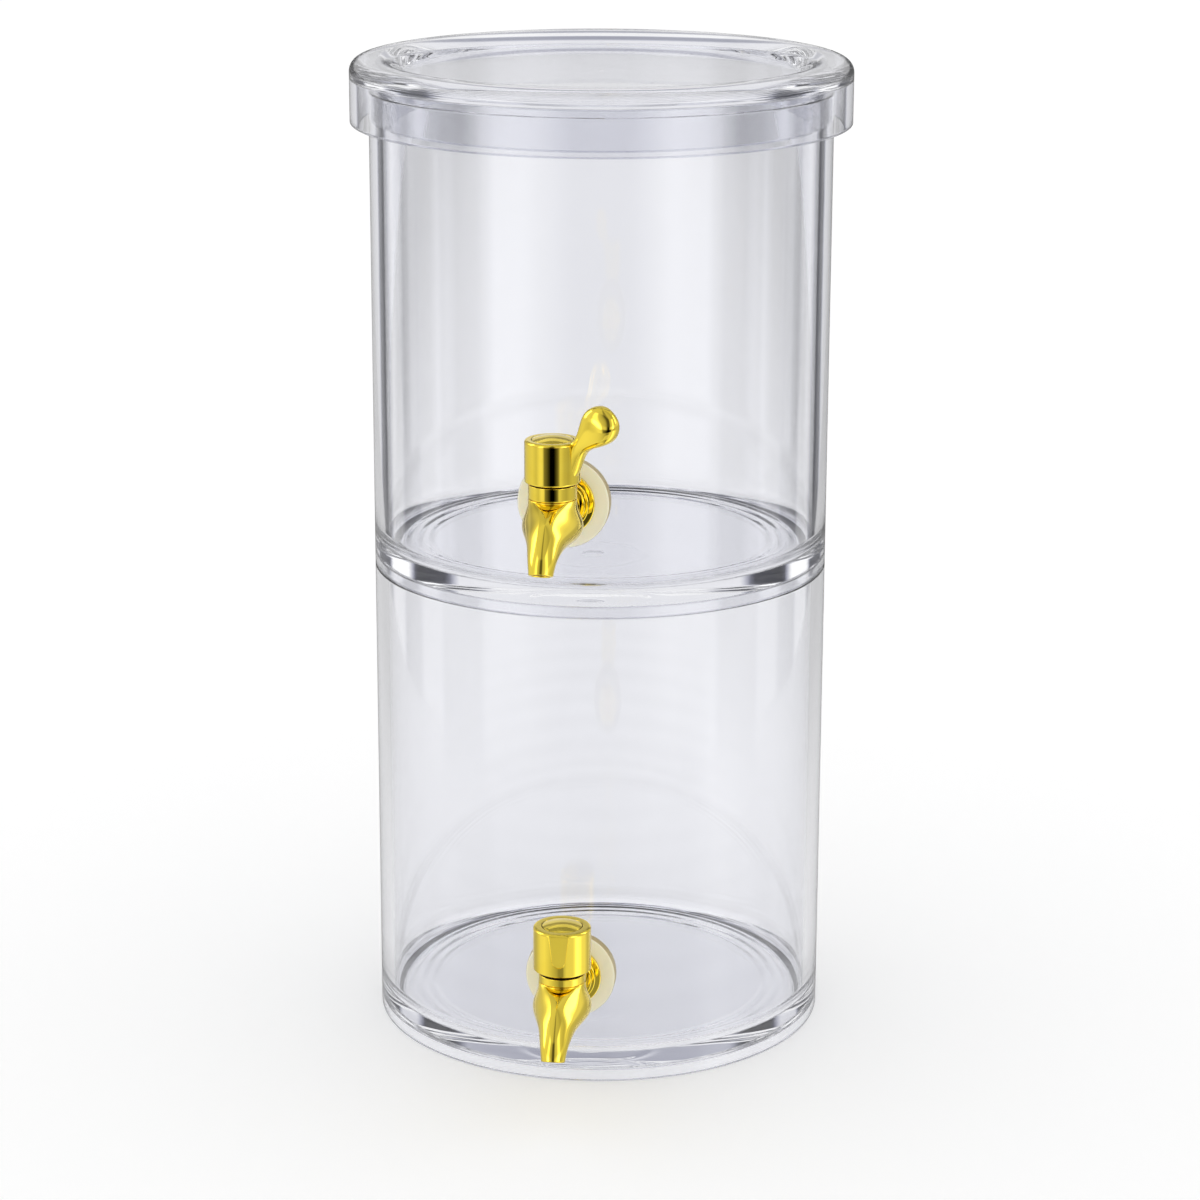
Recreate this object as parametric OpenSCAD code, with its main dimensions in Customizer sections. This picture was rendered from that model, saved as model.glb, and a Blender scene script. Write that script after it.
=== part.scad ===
// Stackable beverage dispenser: two clear tanks that nest, a plug lid and a quarter-turn tap on each tank.
// Millimetres. The origin is the centre of the lower tank's foot plane, +Z is up, and the lower tap faces -Y.

/* [Tanks] */
// Outer diameter of both tanks
tank_d = 206; // [180:1:280]
// Wall thickness of the tanks
tank_wall = 6; // [5.5:0.5:8]
// Height that each tier adds to the stack
tier_h = 216; // [170:1:300]
// Thickness of a tank's floor
floor_t = 5.5; // [4:0.5:9]
// Depth of the nesting recess under a tank
foot_h = 5; // [4:0.5:8]
// Width of the foot ring round the nesting recess
foot_w = 2.7; // [2.4:0.1:3.2]
// Radius of the inside corner between floor and wall
corner_r = 8; // [3:0.5:14]
// Rounding of the feet and rims
edge_r = 0.8; // [0.3:0.1:1]
// Clearance round the nesting lip
nest_gap = 0.3; // [0.1:0.05:0.5]
// Clearance over the nesting lip
nest_rise = 0.5; // [0.3:0.1:1.5]
// Depth of the dish that the moulding gate leaves under a floor
gate_depth = 0.6; // [0.2:0.1:1.5]
// Sphere radius of that dish
gate_r = 20; // [10:1:40]
// Turn of the upper tier on the lower one in degrees, seen from above
upper_turn = -1.7; // [-30:0.1:30]

/* [Lid] */
// Overhang of the lid's skirt beyond the tank wall
lid_over = 8.4; // [7:0.1:14]
// Thickness of the lid's skirt
skirt_t = 3.9; // [3:0.1:5]
// Depth of the skirt below the lid's seat
skirt_h = 20.3; // [12:0.1:40]
// Thickness of the lid's rim over its seat
rim_t = 7.7; // [6.5:0.1:12]
// Outer rounding of the rim's top
rim_r = 5.4; // [2:0.1:6]
// Width of the flat on the rim's top
rim_flat_w = 7; // [5:0.5:9]
// Radius of the round shoulder that runs down to the sunk panel
shoulder_r = 14.7; // [11:0.1:20]
// Depth of the sunk panel below the rim's top
panel_drop = 5.4; // [3:0.1:6]
// Thickness of the sunk panel
panel_t = 4; // [3:0.5:6]
// Depth of the plug ring below the lid's seat
plug_ring_h = 19.5; // [10:0.5:35]
// Thickness of the plug ring
plug_ring_t = 4; // [3:0.5:6]
// Clearance between plug ring and tank mouth
plug_ring_gap = 0.6; // [0.3:0.1:1.5]
// Clearance between the lid and the rim that carries it
lid_gap = 0.02; // [0.01:0.01:0.1]

/* [Tap seat] */
// Height of the tap's axis above a tier's foot plane
tap_z = 52.5; // [40:0.5:90]
// Diameter of the tap's threaded shank
shank_d = 15.8; // [14:0.2:18]
// Clearance round the shank in the tank wall
hole_gap = 0.4; // [0.2:0.1:1]
// Diameter of the outer washer
washer_d = 39.8; // [32:0.2:46]
// Thickness of the outer washer at its centre
washer_t = 3.8; // [2:0.1:5]
// Rounding of the outer washer's front edge
washer_edge_r = 0.8; // [0.3:0.1:1.5]
// Diameter of the inner washer
inner_washer_d = 25; // [22:0.5:30]
// Thickness of the inner washer at its centre
inner_washer_t = 2; // [1.5:0.1:4]
// Width of the lock nut across its flats
nut_af = 22; // [21:0.5:27]
// Thickness of the lock nut
nut_t = 6; // [4:0.5:10]
// Length of shank past the lock nut
shank_over = 2; // [1:0.5:10]
// Clearance of washers against the round tank wall
seat_gap = 0.05; // [0.02:0.01:0.1]

/* [Tap body] */
// Distance from the tank wall to the valve's axis
valve_reach = 32; // [28:0.5:45]
// Diameter of the flange on the outer washer
flange_d = 27.4; // [24:0.2:34]
// Thickness of that flange
flange_t = 2; // [1.5:0.1:4]
// Number of stepped rings between flange and barrel
step_count = 2; // [1:1:3]
// Width of each stepped ring
step_w = 1.6; // [1:0.1:2.5]
// Diameter of the horizontal barrel
barrel_d = 17.4; // [16:0.2:19]
// Radius of the body at its neck
neck_r = 10.3; // [10:0.1:11.5]
// Greatest radius of the body's belly
belly_r = 12.9; // [12.2:0.1:15]
// Depth of the belly's widest place below the tap's axis
belly_drop = 6; // [3:0.5:8]
// Depth of the body's round bottom below the tap's axis
belly_low = 12.3; // [11.5:0.1:16]
// Radius of that round bottom
belly_ball_r = 14.2; // [13:0.1:20]
// Height of the neck joint above the tap's axis
neck_z = 9.4; // [9.4:0.1:12]
// Distance of the spout's root in front of the valve's axis
root_out = 1; // [0:0.5:3]
// Depth of the spout's root below the tap's axis
root_drop = 1.4; // [1.4:0.1:4]
// Half height of the spout at its root
root_h = 10.7; // [9:0.1:10.7]
// Half width of the spout at its root
root_w = 12.4; // [9:0.1:12.4]
// How far the spout's tip lies in front of the valve's axis
tip_out = 30; // [26:0.5:40]
// How far the spout's tip lies below the tap's axis
tip_drop = 16; // [14:0.5:24]
// Lean of the spout's tip from straight down, in degrees
tip_lean = 22; // [14:1:34]
// Reach of the straight pull that the tip has on the spout's curve
tip_pull = 18; // [12:0.5:22]
// Outer radius of the spout's tip
tip_r = 5.2; // [5:0.05:6.5]
// Radius of the spout's bore
spout_bore_r = 4; // [3:0.1:4.2]
// Length of the spout's bore
spout_bore_l = 11; // [8:0.5:12]
// Radius of the water way through the shank
way_r = 4.3; // [3:0.1:4.4]

/* [Valve] */
// Radius of the valve's bore in the tap body
valve_bore_r = 6; // [5.5:0.1:6.3]
// Depth of the valve's bore below the tap's axis
valve_depth = 8.5; // [7.8:0.1:9]
// Radial clearance of turning fits
run_gap = 0.05; // [0.02:0.01:0.1]
// Radius of the cross bore through the plug
port_r = 3.2; // [2:0.1:3.6]
// Turn of the valve between open and shut, in degrees
valve_turn = 90; // [60:5:100]
// Thickness of an O-ring
o_ring_t = 1.8; // [1.2:0.1:2]
// Distance of each O-ring from the tap's axis
o_ring_z = 6; // [5.4:0.1:6.5]
// Radius of the plug's flange
plug_flange_r = 7; // [6.8:0.1:7.2]
// Thickness of the plug's flange
plug_flange_t = 2.6; // [2:0.1:3]
// Radius of the plug's stem
stem_r = 4.2; // [3.5:0.1:4.8]
// Width of the stem across its two flats
stem_af = 6.4; // [5:0.1:7]
// Height of the stem's end above the tap's axis
stem_top = 26.5; // [24:0.5:27]
// Height of the bonnet ring above the neck joint
bonnet_h = 7.8; // [7:0.1:8.4]
// Wall of the bonnet ring
bonnet_t = 1.45; // [1.2:0.05:1.6]

/* [Knobs] */
// Diameter of the lever knob
lever_knob_d = 23.6; // [23.4:0.1:28]
// Diameter of the plain knob
plain_knob_d = 25.2; // [23.4:0.1:28]
// Height of a knob's top above the tap's axis
knob_top = 34.6; // [34:0.1:40]
// Height of the lever knob's lower edge above the tap's axis
lever_knob_low = 16.5; // [14:0.1:17]
// Height of the plain knob's lower edge above the tap's axis
plain_knob_low = 15; // [14:0.1:17]
// Clearance between a knob's skirt and the bonnet ring
skirt_gap = 0.4; // [0.3:0.1:0.6]
// Rounding of a knob's top edge
knob_edge_r = 1.2; // [0.5:0.1:1.8]
// Radius of the cap in a knob's top
cap_r = 8.65; // [7:0.05:9]
// Clearance round the cap
cap_gap = 0.12; // [0.05:0.01:0.3]
// Thickness of the cap at its edge
cap_t = 2; // [1.5:0.1:2.5]
// Rise of the cap's dome
cap_rise = 1.5; // [0.8:0.1:2.5]
// Depth of the thumb facet at the plain knob's top
facet_top = 0.95; // [0.5:0.05:1.2]
// Depth of the thumb facet at its lower end
facet_low = 0.45; // [0.2:0.05:0.5]
// Distance of the facet's round end above the plain knob's lower edge
facet_end = 4.5; // [3:0.5:8]
// Half width of the facet's round end
facet_r = 2.9; // [2:0.1:4]
// Screw head radius
screw_head_r = 3; // [2.5:0.1:3.5]
// Screw shank radius
screw_r = 1.45; // [1.2:0.05:1.6]

/* [Lever] */
// Angle between lever and spout at rest, in degrees
lever_turn = 68; // [0:1:90]
// Distance of the lever's ball from the valve's axis
ball_out = 23.5; // [20:0.5:34]
// Height of the lever's ball above the tap's axis
ball_z = 44; // [40:0.5:52]
// Radius of the lever's ball
ball_r = 8.8; // [7:0.1:10]
// Half thickness of the flattened ball
ball_half_t = 5.2; // [4:0.1:6.5]
// Half width of the lever's arm at its waist
arm_waist = 3.9; // [3:0.1:5]
// Half width of the lever's arm at its root
arm_root = 6.6; // [5.5:0.1:7.5]
// Half thickness of the lever's arm
arm_half_t = 3.6; // [3:0.1:5]

/* [Hidden] */
$fn = 96;
tank_r = tank_d / 2;
inner_r = tank_r - tank_wall;
floor_top = foot_h + floor_t;
lip_r = tank_r - foot_w - nest_gap;
lip_h = foot_h - nest_rise;
rim_z = tier_h + lip_h;
lid_z = tier_h + rim_z + lid_gap;
lid_r = tank_r + lid_over;
plug_ring_r = inner_r - plug_ring_gap;
flat_in_r = lid_r - rim_r - rim_flat_w;
panel_top = rim_t - panel_drop;
shank_r = shank_d / 2;
hole_r = shank_r + hole_gap;
nut_face = tank_wall + inner_washer_t;
shank_in = nut_face + nut_t + shank_over;
face_out = washer_t + flange_t;
barrel_r = barrel_d / 2;
barrel_out = face_out + step_count * step_w;
bulge_r = (pow(belly_r - neck_r, 2) + pow(neck_z + belly_drop, 2)) / (2 * (belly_r - neck_r));
belly_ball_z = belly_ball_r - belly_low;
tip_way = [0, -sin(tip_lean), -cos(tip_lean)];
tip = [0, -tip_out, -tip_drop];
spout_path = [[0, -root_out, -root_drop], tip - tip_pull * tip_way, tip];
spout_steps = 14;
spout_swell = 1.35;
bore_end = tip - spout_bore_l * tip_way;
port_fall = atan(bore_end[2] / bore_end[1]);
thread_gap = 0.1;
turn_gap = 0.2;
stub_r = neck_r - bonnet_t - run_gap;
stub_in_r = plug_flange_r + turn_gap;
bonnet_lip_t = 2.2;
bonnet_edge_r = 0.4;
bonnet_top = neck_z + bonnet_h;
bonnet_low = neck_z + thread_gap;
stub_top = bonnet_top - bonnet_lip_t - thread_gap;
plug_r = valve_bore_r - run_gap;
plug_end_gap = 0.5;
plug_low = -valve_depth + plug_end_gap;
plug_flange_top = neck_z + plug_flange_t;
press_gap = 0.15;
lug_out = 0.8;
lug_half = 12;
lug_play = 1;
lug_turn = 90;
lug_play_z = 0.3;
o_ring_r = o_ring_t / 2;
o_ring_mid = valve_bore_r - run_gap - o_ring_r;
groove_r = o_ring_mid - o_ring_r - run_gap;
groove_play = 0.3;
groove_h = o_ring_t + groove_play;
knob_in_r = neck_r + skirt_gap;
knob_play = 0.6;
knob_floor = bonnet_top + knob_play;
flat_start = bonnet_top + knob_play / 2;
stem_play = 0.4;
socket_top = stem_top + stem_play;
web_t = 1.8;
head_z = socket_top + web_t;
head_h = 2.2;
slot_w = 0.7;
cap_seat = knob_top - cap_t;
well_play = 1.8;
well_r = screw_head_r + well_play;
screw_l = 9;
pilot_over = 0.6;
pilot_l = screw_l + pilot_over;
facet_flare = 1.5;
step_share = 1.6;
arm_in = 6;
arm_low = 25.5;
arm_start = [0, -arm_in, arm_low];
arm_end = [0, -ball_out, ball_z];
arm_l = norm(arm_end - arm_start);
arm_way = (arm_end - arm_start) / arm_l;
arm_steps = 22;
arm_sides = 32;
arm_square = 0.82;
waist_share = 0.72;
ball_share = 0.35;
crowding = 1.7;
end_share = 0.025;
past = 1;
across = [1, 0, 0];
ring_sides = 40;
fine = 240;
round_fine = 48;
acrylic = [0.86, 0.88, 0.92, 0.35];
gold = [0.93, 0.76, 0.16];
cream = [0.96, 0.94, 0.82];
steel = [0.72, 0.73, 0.75];
black = [0.08, 0.08, 0.08];

// Places a piece on the lower tier (0) or the upper tier (1)
module at_tier(tier) {
    translate([0, 0, tier * tier_h]) rotate([0, 0, tier * upper_turn]) children();
}

// The tap's own frame: its origin is where the tap's axis leaves the wall, and -Y points outwards
module at_tap(tier) {
    at_tier(tier) translate([0, -tank_r, tap_z]) children();
}

// The valve's own frame: its Z axis is the axis on which plug and knob turn
module at_valve(tier) {
    at_tap(tier) translate([0, -valve_reach, 0]) children();
}

// A horizontal disc or tube blank on the tap's axis, from one distance outside the wall to another
module along(from_out, to_out, r) {
    translate([0, -from_out, 0]) rotate([90, 0, 0]) cylinder(h = to_out - from_out, r = r);
}

// A standing cylinder on the valve's axis
module standing(low, high, r) {
    translate([0, 0, low]) cylinder(h = high - low, r = r);
}

// A strip of a revolved profile, given by its radii and heights
module strip(r_in, r_out, low, high) {
    translate([r_in, low]) square([r_out - r_in, high - low]);
}

// A quarter round left over when a circle is taken out of its square, used to round an outer edge
module edge_waste(r, h, edge, right, up) {
    translate([r, h]) mirror([right ? 0 : 1, 0]) mirror([0, up ? 0 : 1]) difference() {
        translate([-edge, -edge]) square([edge + past, edge + past]);
        translate([-edge, -edge]) circle(r = edge);
    }
}

// Rings of points on a path are joined into one closed skin
function ring(c, across, along, a, b, n, power) = [
    for (i = [0 : n - 1])
        let (t = 360 * i / n, ca = cos(t), sa = sin(t))
        c + across * a * sign(ca) * pow(abs(ca), power) + along * b * sign(sa) * pow(abs(sa), power)
];

module skin(rings) {
    n = len(rings[0]);
    m = len(rings);
    points = [for (r = rings, p = r) p];
    sides = [
        for (j = [0 : m - 2], i = [0 : n - 1])
            let (k = (i + 1) % n, a = j * n + i, b = j * n + k, c = a + n, d = b + n)
            each [[a, c, b], [b, c, d]]
    ];
    low = [for (i = [0 : n - 1]) i];
    high = [for (i = [n - 1 : -1 : 0]) (m - 1) * n + i];
    polyhedron(points = points, faces = concat(sides, [low, high]), convexity = 6);
}

// Point on a curve that bends from its first control point to its last
function bend(p, t) = pow(1 - t, 2) * p[0] + 2 * t * (1 - t) * p[1] + t * t * p[2];

// Direction of that curve
function bend_way(p, t) =
    let (d = (1 - t) * (p[1] - p[0]) + t * (p[2] - p[1]))
    d / norm(d);

// Smooth step from 0 to 1
function ease(t) = t * t * (3 - 2 * t);

// Half width and half height of the spout's section, from its root at 0 to its tip at 1
function spout_half_w(t) = tip_r + (root_w - tip_r) * pow(1 - t, spout_swell);
function spout_half_h(t) = tip_r + (root_h - tip_r) * (1 - t);

// Spout of the tap body, in the valve's frame: its sections turn from wide to round along a curve
module spout_skin() {
    skin([
        for (j = [0 : spout_steps])
            let (t = j / spout_steps, way = bend_way(spout_path, t))
            ring(bend(spout_path, t), across, cross(way, across), spout_half_w(t), spout_half_h(t), ring_sides, 1)
    ]);
}

// Belly of the tap body: a bulged neck that ends in a round bottom
module belly() {
    rotate_extrude() intersection() {
        strip(0, belly_r, -belly_low, neck_z);
        translate([belly_r - bulge_r, -belly_drop]) circle(r = bulge_r, $fn = fine);
        union() {
            strip(0, belly_r, belly_ball_z, neck_z);
            translate([0, belly_ball_z]) circle(r = belly_ball_r, $fn = fine);
        }
    }
}

// Bore from the spout's tip to its bend, and the port that joins it to the valve
module spout_way() {
    translate(tip + past * tip_way) rotate([180 - tip_lean, 0, 0]) mirror([0, 0, 1])
        cylinder(h = spout_bore_l + past, r = spout_bore_r);
    rotate([90 + port_fall, 0, 0]) cylinder(h = norm(bore_end), r = port_r);
}

// Notch in the neck that the plug's stop lug runs in
module lug_notch() {
    reach = lug_half + lug_play;
    rotate([0, 0, lug_turn - reach]) rotate_extrude(angle = valve_turn + 2 * reach)
        strip(stub_in_r - past, plug_flange_r + lug_out + turn_gap, neck_z, plug_flange_top + turn_gap);
}

// Radius of one stepped ring between flange and barrel
function step_r(i) =
    barrel_r + (flange_d / 2 - barrel_r) * (step_count + 1 - i) / (step_count + step_share);

module tap_body() {
    difference() {
        union() {
            along(-shank_in, washer_t + past, shank_r);
            along(washer_t, face_out, flange_d / 2);
            for (i = [1 : step_count])
                along(face_out, face_out + i * step_w, step_r(i));
            along(face_out, valve_reach, barrel_r);
            translate([0, -valve_reach, 0]) {
                belly();
                spout_skin();
                standing(neck_z - past, stub_top, stub_r);
            }
        }
        along(-shank_in - past, valve_reach, way_r);
        translate([0, -valve_reach, 0]) {
            standing(-valve_depth, neck_z + past, valve_bore_r);
            standing(neck_z, stub_top + past, stub_in_r);
            lug_notch();
            spout_way();
        }
    }
}

module tap_bonnet() {
    rotate_extrude() {
        strip(stem_r + run_gap, stub_in_r - thread_gap, plug_flange_top + press_gap, bonnet_top - past);
        difference() {
            strip(stem_r + run_gap, neck_r, stub_top + thread_gap, bonnet_top);
            edge_waste(neck_r, bonnet_top, bonnet_edge_r, true, true);
        }
        strip(stub_r + run_gap, neck_r, bonnet_low, bonnet_top - past);
    }
}

// Plug with its cross bore; port_at is the angle of that bore from the tap's axis
module valve_plug(port_at) {
    rotate([0, 0, port_at]) difference() {
        union() {
            rotate_extrude() difference() {
                union() {
                    strip(0, plug_r, plug_low, neck_z);
                    strip(0, plug_flange_r, neck_z, plug_flange_top);
                    strip(0, stem_r, neck_z, flat_start);
                }
                for (s = [-1, 1])
                    strip(groove_r, valve_bore_r, s * o_ring_z - groove_h / 2, s * o_ring_z + groove_h / 2);
            }
            rotate([0, 0, lug_turn - lug_half]) rotate_extrude(angle = 2 * lug_half)
                strip(plug_flange_r - past, plug_flange_r + lug_out,
                      neck_z + lug_play_z, plug_flange_top - lug_play_z);
            intersection() {
                standing(bonnet_top, stem_top, stem_r);
                translate([-stem_af / 2, -stem_r - past, bonnet_top])
                    cube([stem_af, 2 * (stem_r + past), stem_top - bonnet_top]);
            }
        }
        translate([0, plug_r + past, 0]) rotate([90, 0, 0]) cylinder(h = 2 * (plug_r + past), r = port_r);
        standing(stem_top - pilot_l, stem_top + past, screw_r + run_gap);
    }
}

module plug_o_rings() {
    for (s = [-1, 1])
        translate([0, 0, s * o_ring_z]) rotate_extrude()
            translate([o_ring_mid, 0]) circle(r = o_ring_r, $fn = round_fine);
}

module outer_washer() {
    difference() {
        rotate([90, 0, 0]) rotate_extrude($fn = fine) difference() {
            strip(shank_r + seat_gap, washer_d / 2, -tank_wall, washer_t);
            edge_waste(washer_d / 2, washer_t, washer_edge_r, true, true);
        }
        translate([0, tank_r, -washer_d]) cylinder(h = 2 * washer_d, r = tank_r + seat_gap, $fn = fine);
    }
}

module inner_washer() {
    intersection() {
        difference() {
            along(-nut_face, -tank_wall + past, inner_washer_d / 2);
            along(-nut_face - past, past, shank_r + seat_gap);
        }
        translate([0, tank_r, -washer_d]) cylinder(h = 2 * washer_d, r = inner_r - seat_gap, $fn = fine);
    }
}

// Lock nut: a hexagon whose inward face is turned to a round chamfer
module lock_nut() {
    corner_r = nut_af / sqrt(3);
    difference() {
        translate([0, nut_face + nut_t, 0]) rotate([90, 0, 0]) intersection() {
            cylinder(h = nut_t, r = corner_r, $fn = 6);
            rotate_extrude() polygon([
                [0, 0], [nut_af / 2, 0], [corner_r, corner_r - nut_af / 2], [corner_r, nut_t], [0, nut_t]
            ]);
        }
        along(-nut_face - nut_t - past, -nut_face + past, shank_r + run_gap);
    }
}

// Hollow of a knob: skirt over the bonnet, socket for the stem, screw hole, screw well and cap seat
module knob_hollow(low) {
    standing(low - past, knob_floor, knob_in_r);
    intersection() {
        standing(low, socket_top, stem_r + run_gap);
        translate([-stem_af / 2 - run_gap, -stem_r - past, low])
            cube([stem_af + 2 * run_gap, 2 * (stem_r + past), socket_top - low]);
    }
    standing(socket_top - past, head_z + past, screw_r + turn_gap);
    standing(head_z, cap_seat + past, well_r);
    standing(cap_seat, knob_top + past, cap_r + cap_gap);
}

module knob_blank(r, low) {
    rotate_extrude() difference() {
        strip(0, r, low, knob_top);
        edge_waste(r, knob_top, knob_edge_r, true, true);
        edge_waste(r, low, knob_edge_r / 2, true, false);
    }
}

// Flat facet on the front of the plain knob, rounded at its lower end
module thumb_facet(r, low) {
    end_z = low + facet_end + facet_r;
    fall = atan((facet_top - facet_low) / (knob_top - low - facet_end));
    intersection() {
        translate([0, -r + facet_top, knob_top]) rotate([-fall, 0, 0])
            translate([-r, -r, -2 * r]) cube([2 * r, r, 3 * r]);
        translate([0, -r / 2, 0]) rotate([90, 0, 0]) linear_extrude(height = r) union() {
            translate([0, end_z]) circle(r = facet_r);
            polygon([
                [-facet_r, end_z], [facet_r, end_z],
                [facet_r + facet_flare, knob_top + past], [-facet_r - facet_flare, knob_top + past]
            ]);
        }
    }
}

module plain_knob() {
    r = plain_knob_d / 2;
    difference() {
        knob_blank(r, plain_knob_low);
        rotate([0, 0, valve_turn]) knob_hollow(plain_knob_low);
        thumb_facet(r, plain_knob_low);
    }
}

// Arm and flattened ball of the lever, in the valve's frame with the lever over the spout: half width and
// half thickness of its section at a distance along it
function arm_half_w(s) =
    let (neck_s = (arm_l - ball_r) * waist_share)
    s < neck_s ? arm_root + (arm_waist - arm_root) * ease(s / neck_s)
    : s < arm_l ? arm_waist + (ball_r - arm_waist) * ease((s - neck_s) / (arm_l - neck_s))
    : ball_r * end_fall(s);
function arm_thick(s) =
    s < arm_l ? arm_half_t + (ball_half_t - arm_half_t) * ease(max(0, (s - arm_l + 2 * ball_r) / (2 * ball_r)))
    : ball_half_t * end_fall(s);

// How the ball's sections shrink past its middle, down to a small flat at its end
function end_fall(s) = sqrt(max(1 - pow((s - arm_l) / ball_r, 2), pow(end_share, 2)));

// Distance of each section from the lever's start; they crowd towards the ball's end
function arm_s(f) =
    let (total = arm_l + ball_r)
    f < 1 / 2 ? 2 * total * (1 - ball_share) * f : total * (1 - ball_share * pow(2 * (1 - f), crowding));

module lever_skin() {
    up = cross(arm_way, across);
    skin([
        for (j = [0 : arm_steps])
            let (s = arm_s(j / arm_steps))
            ring(arm_start + arm_way * s, across, up, arm_thick(s), arm_half_w(s), arm_sides, arm_square)
    ]);
}

module lever_knob() {
    r = lever_knob_d / 2;
    rotate([0, 0, lever_turn]) difference() {
        union() {
            knob_blank(r, lever_knob_low);
            difference() {
                lever_skin();
                standing(0, knob_top, r - past);
            }
        }
        knob_hollow(lever_knob_low);
    }
}

module knob_screw() {
    difference() {
        union() {
            standing(head_z, head_z + head_h, screw_head_r);
            standing(head_z - screw_l, head_z + past, screw_r);
        }
        for (a = [0, 90])
            rotate([0, 0, a]) translate([-screw_head_r / 2, -slot_w / 2, head_z + head_h / 2])
                cube([screw_head_r, slot_w, head_h]);
    }
}

module knob_cap() {
    dome_r = (pow(cap_r, 2) + pow(cap_rise, 2)) / (2 * cap_rise);
    intersection() {
        union() {
            standing(cap_seat, knob_top + cap_rise, cap_r);
            standing(cap_seat - past / 2, cap_seat + past, well_r - cap_gap);
        }
        translate([0, 0, knob_top + cap_rise - dome_r]) sphere(r = dome_r, $fn = fine);
    }
}

module tank_profile() {
    difference() {
        union() {
            strip(0, tank_r, 0, tier_h);
            strip(inner_r - past, lip_r, tier_h - past, rim_z);
        }
        strip(0, inner_r - corner_r, floor_top, rim_z + past);
        strip(0, inner_r, floor_top + corner_r, rim_z + past);
        translate([inner_r - corner_r, floor_top + corner_r]) circle(r = corner_r);
        strip(0, tank_r - foot_w, -past, foot_h);
        translate([0, foot_h + gate_depth - gate_r]) circle(r = gate_r);
        edge_waste(tank_r, 0, edge_r, true, false);
        edge_waste(tank_r - foot_w, 0, edge_r, false, false);
        edge_waste(tank_r, tier_h, edge_r, true, true);
        edge_waste(lip_r, rim_z, edge_r, true, true);
        edge_waste(inner_r, rim_z, edge_r, false, true);
    }
}

module tank(tier) {
    difference() {
        at_tier(tier) rotate_extrude($fn = fine) tank_profile();
        at_tap(tier) along(-tank_wall - 2 * past, 2 * past, hole_r);
    }
}

module lid_profile() {
    difference() {
        union() {
            strip(0, lid_r, 0, rim_t);
            strip(0, plug_ring_r, panel_top - panel_t, past);
            strip(plug_ring_r - plug_ring_t, plug_ring_r, -plug_ring_h, past);
            strip(lid_r - skirt_t, lid_r, -skirt_h, past);
        }
        difference() {
            strip(0, flat_in_r, panel_top, rim_t + past);
            translate([flat_in_r, rim_t - shoulder_r]) circle(r = shoulder_r);
        }
        edge_waste(lid_r, rim_t, rim_r, true, true);
        edge_waste(lid_r, -skirt_h, edge_r, true, false);
        edge_waste(lid_r - skirt_t, -skirt_h, edge_r, false, false);
        edge_waste(plug_ring_r, -plug_ring_h, edge_r, true, false);
        edge_waste(plug_ring_r - plug_ring_t, -plug_ring_h, edge_r, false, false);
    }
}

module lid() {
    color(acrylic) translate([0, 0, lid_z]) rotate_extrude($fn = fine) lid_profile();
}

module lower_tank() { color(acrylic) tank(0); }
module lower_tap_body() { color(gold) at_tap(0) tap_body(); }
module lower_tap_bonnet() { color(gold) at_valve(0) tap_bonnet(); }
module lower_outer_washer() { color(cream) at_tap(0) outer_washer(); }
module lower_inner_washer() { color(cream) at_tap(0) inner_washer(); }
module lower_lock_nut() { color(gold) at_tap(0) lock_nut(); }
module lower_valve_plug() { color(gold) at_valve(0) valve_plug(valve_turn); }
module lower_plug_o_rings() { color(black) at_valve(0) plug_o_rings(); }
module lower_knob() { color(gold) at_valve(0) plain_knob(); }
module lower_knob_screw() { color(steel) at_valve(0) knob_screw(); }
module lower_knob_cap() { color(gold) at_valve(0) knob_cap(); }

module upper_tank() { color(acrylic) tank(1); }
module upper_tap_body() { color(gold) at_tap(1) tap_body(); }
module upper_tap_bonnet() { color(gold) at_valve(1) tap_bonnet(); }
module upper_outer_washer() { color(cream) at_tap(1) outer_washer(); }
module upper_inner_washer() { color(cream) at_tap(1) inner_washer(); }
module upper_lock_nut() { color(gold) at_tap(1) lock_nut(); }
module upper_valve_plug() { color(gold) at_valve(1) valve_plug(lever_turn); }
module upper_plug_o_rings() { color(black) at_valve(1) plug_o_rings(); }
module upper_knob() { color(gold) at_valve(1) lever_knob(); }
module upper_knob_screw() { color(steel) at_valve(1) knob_screw(); }
module upper_knob_cap() { color(gold) at_valve(1) knob_cap(); }

lower_tank();
lower_tap_body();
lower_tap_bonnet();
lower_outer_washer();
lower_inner_washer();
lower_lock_nut();
lower_valve_plug();
lower_plug_o_rings();
lower_knob();
lower_knob_screw();
lower_knob_cap();
upper_tank();
upper_tap_body();
upper_tap_bonnet();
upper_outer_washer();
upper_inner_washer();
upper_lock_nut();
upper_valve_plug();
upper_plug_o_rings();
upper_knob();
upper_knob_screw();
upper_knob_cap();
lid();
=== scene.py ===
import math

import bmesh
import bpy
import numpy as np
from mathutils import Matrix, Vector


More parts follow.
